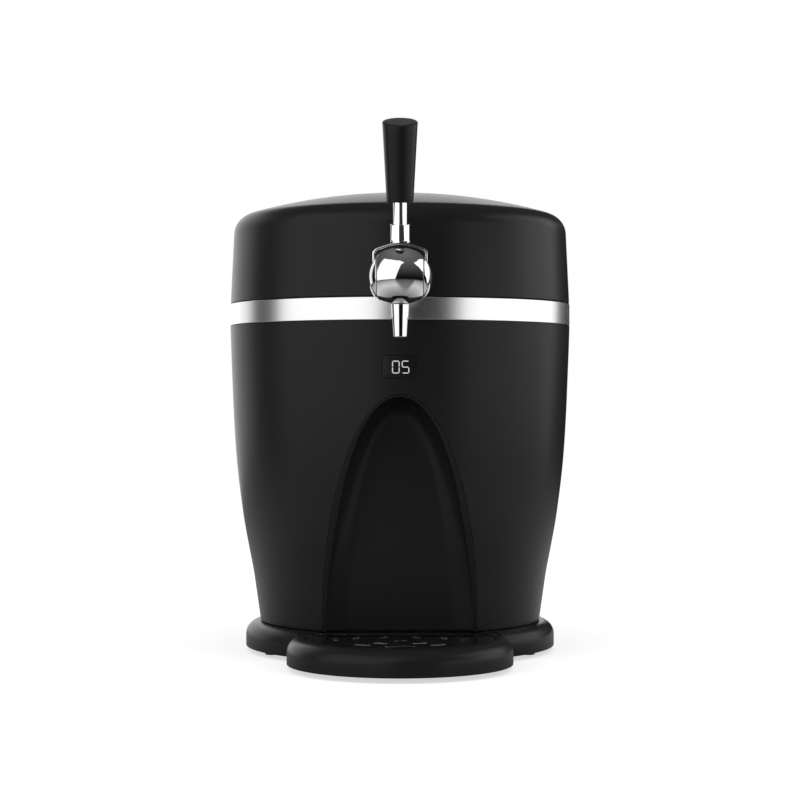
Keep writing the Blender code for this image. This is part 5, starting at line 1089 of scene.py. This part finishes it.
# Rear housing
# A rounded black cover stands behind the barrel over the cooling unit, with vent slots
# in its rear wall and both sides, and four screws in its corners.
HOUSING_BACK, HOUSING_TOP, HOUSING_HALF, HOUSING_CORNER, HOUSING_ROUNDING = 0.201, 0.25, 0.085, 0.025, 0.01
FAN_HEIGHT, VENT_PITCH, VENT_TALL, VENT_ROUNDING = 0.16, 0.011, 0.004, 0.0019


def housing_line(inset, front=0.04):
    corner = HOUSING_CORNER - inset
    outline = [(HOUSING_HALF - inset, front)]
    for sign in (1, -1):
        for i in range(13):
            angle = (0 if sign > 0 else pi / 2) + pi / 2 * i / 12
            outline.append((
                sign * (HOUSING_HALF - HOUSING_CORNER) + corner * cos(angle),
                HOUSING_BACK - HOUSING_CORNER + corner * sin(angle)))
    outline.append((-HOUSING_HALF + inset, front))
    return outline


housing_levels = rounded_levels(BODY_FOOT, HOUSING_TOP, HOUSING_ROUNDING, 0.0005)
housing = stacked("rear_cover", housing_line, housing_levels)
hollow_levels = rounded_levels(0.018, HOUSING_TOP - SHELL, HOUSING_ROUNDING - SHELL, 0, SHELL)
barrel_tool = [(0, 0.018), (BARREL[0][0] + SEAM, 0.018)] + [(r + SEAM, z) for r, z in barrel_path]
tools = [
    stacked("cover_hollow", lambda inset: housing_line(inset, 0.03), hollow_levels),
    turned("barrel_tool", barrel_tool + [(0.1372, 0.27), (0, 0.27)], steps=160)]
for i in range(8):
    line = rounded_outline(0.09, VENT_TALL, VENT_ROUNDING, (0, FAN_HEIGHT + (i - 3.5) * VENT_PITCH))
    tools.append(slab("vent_tool", line, 0.19, 0.21))
for i in range(5):
    line = rounded_outline(0.034, VENT_TALL, VENT_ROUNDING, (0.162, FAN_HEIGHT + (i - 2) * VENT_PITCH))
    tools += [slab("vent_tool", line, -0.095, -0.075, "YZ"), slab("vent_tool", line, 0.075, 0.095, "YZ")]
for x in (-0.042, 0.042):
    tools.append(slab("port_tool", rounded_outline(0.0276, 0.0206, 0.001, (x, 0.062)), 0.19, 0.21))
cut(housing, *tools)
flat_shaded(edge_rounded(housing, 0.0004, 2, 60))
dress(housing, housing_black, "base", "black_housing", "rear_housing")

zinc = gloss("zinc_steel", (0.42, 0.42, 0.43), 0.36, 0.12, in_Metallic=1.0)
backward = Matrix.Rotation(-90 * DEGREE, 4, "X")
CROSS_ARM, CROSS_HALF = 0.0017, 0.0004


def screw(name, x, seat, z):
    """A pan head screw with a cross recess, which looks to the rear from its seat."""
    head = spun(name, [
        (0, 1.9, 0), (2.6, 1.9, 0.6), (3.5, 0.9, 0.5), (3.5, 0, 0), (1.5, 0, 0), (1.5, -4, 0.4),
        (0, -4.3, 0)], Matrix.Translation((x, seat, z)) @ backward, ease=4, steps=48)
    cross = []
    for i in range(4):
        turn = Matrix.Rotation(-i * pi / 2, 2)
        for corner in ((CROSS_HALF, CROSS_ARM), (CROSS_HALF, CROSS_HALF), (CROSS_ARM, CROSS_HALF)):
            cross.append(tuple(Vector((x, z)) + turn @ Vector(corner)))
    cut(head, slab(f"{name}_cross", cross, seat + 0.0009, seat + 0.004))
    return flat_shaded(head)


for corner_name in ("lower_left", "lower_right", "upper_left", "upper_right"):
    node = f"housing_screw_{corner_name}"
    middle = middle_of(node)
    dress(screw(f"{node}_head", middle.x, 0.2013, middle.z), zinc, "base", "zinc_steel", node)

# Hinge, inlet and switch
# The zinc plated hinge has eased edges and two screws in its arm. The black inlet and switch
# have eased edges too, and the rocker carries a white line and a white ring for on and off.
fan_black = moulded("fan_black", (0.02, 0.02, 0.021), 0.45, 0.15, 0.4)


def eased_copy(node, look, body, slot, width):
    """A solid with its sharp edges eased."""
    mesh = nodes[node].data.copy()
    mesh.transform(nodes[node].matrix_world)
    shape = bmesh.new()
    shape.from_mesh(mesh)
    bmesh.ops.remove_doubles(shape, verts=shape.verts, dist=WELD)
    bmesh.ops.dissolve_limit(shape, angle_limit=DEGREE, verts=shape.verts, edges=shape.edges)
    shape.to_mesh(mesh)
    shape.free()
    made = apply_all(edge_rounded(placed(f"{node}_eased", mesh), width, 3, 40))
    dress(flat_shaded(made, 50), look, body, slot, node)


eased_copy("hinge_bracket", zinc, "base", "zinc_steel", 0.0006)
eased_copy("hinge_pin", zinc, "base", "zinc_steel", 0.0003)
eased_copy("lid_hinge_arm", zinc, "lid", "zinc_steel", 0.0007)
for node, body in (("mains_inlet", "base"), ("switch_frame", "base"), ("switch_rocker", "rocker")):
    eased_copy(node, fan_black, body, "fan_black", 0.0004)
for side_name, sign in (("left", -1), ("right", 1)):
    dress(screw(f"hinge_screw_{side_name}", sign * 0.01, 0.1429, 0.2985), zinc, "lid", "zinc_steel")
mark_white = moulded("mark_white", (0.7, 0.7, 0.7), 0.5, 0.05)
MARK_THICK, MARK_HEIGHT, MARK_LEAN = 0.00012, 0.0043, 13.1
rocker_place = Matrix.Translation((0.042, 0.1975, 0.062)) @ Matrix.Rotation(8 * DEGREE, 4, "X")
on_mark = slab("on_mark", rounded_outline(0.0007, 0.004, 0.0003), 0, MARK_THICK)
off_path = [(0.0013, 0), (0.0019, 0), (0.0019, MARK_THICK), (0.0013, MARK_THICK)]
off_mark = moved(turned("off_mark", off_path, closed=True, steps=48), backward)
for mark, sign in ((on_mark, 1), (off_mark, -1)):
    lean = Matrix.Rotation(-sign * MARK_LEAN * DEGREE, 4, "X")
    moved(mark, rocker_place @ Matrix.Translation((0, 0.00521, sign * MARK_HEIGHT)) @ lean)
    dress(mark, mark_white, "rocker", "fan_black")

# Working parts that keep their solids
# Fan, boards, cold block, sink, shank and hose keep the shapes of the solids and take the
# finish of their real material.
looks["circuit_board"] = gloss("circuit_board", (0.012, 0.11, 0.045), 0.35, 0.1)
looks["cooling_ceramic"] = moulded("cooling_ceramic", (0.78, 0.77, 0.72), 0.5, 0.1, 0.6)
looks["beer_line"] = gloss("beer_line", (0.7, 0.73, 0.74), 0.18, 0.08, in_Transmission_Weight=0.6)
for row in frame["record"]["subparts"]:
    solid = nodes[row["node"]]
    solid.data.materials.clear()
    solid.data.materials.append(looks[row["material_slot"]])
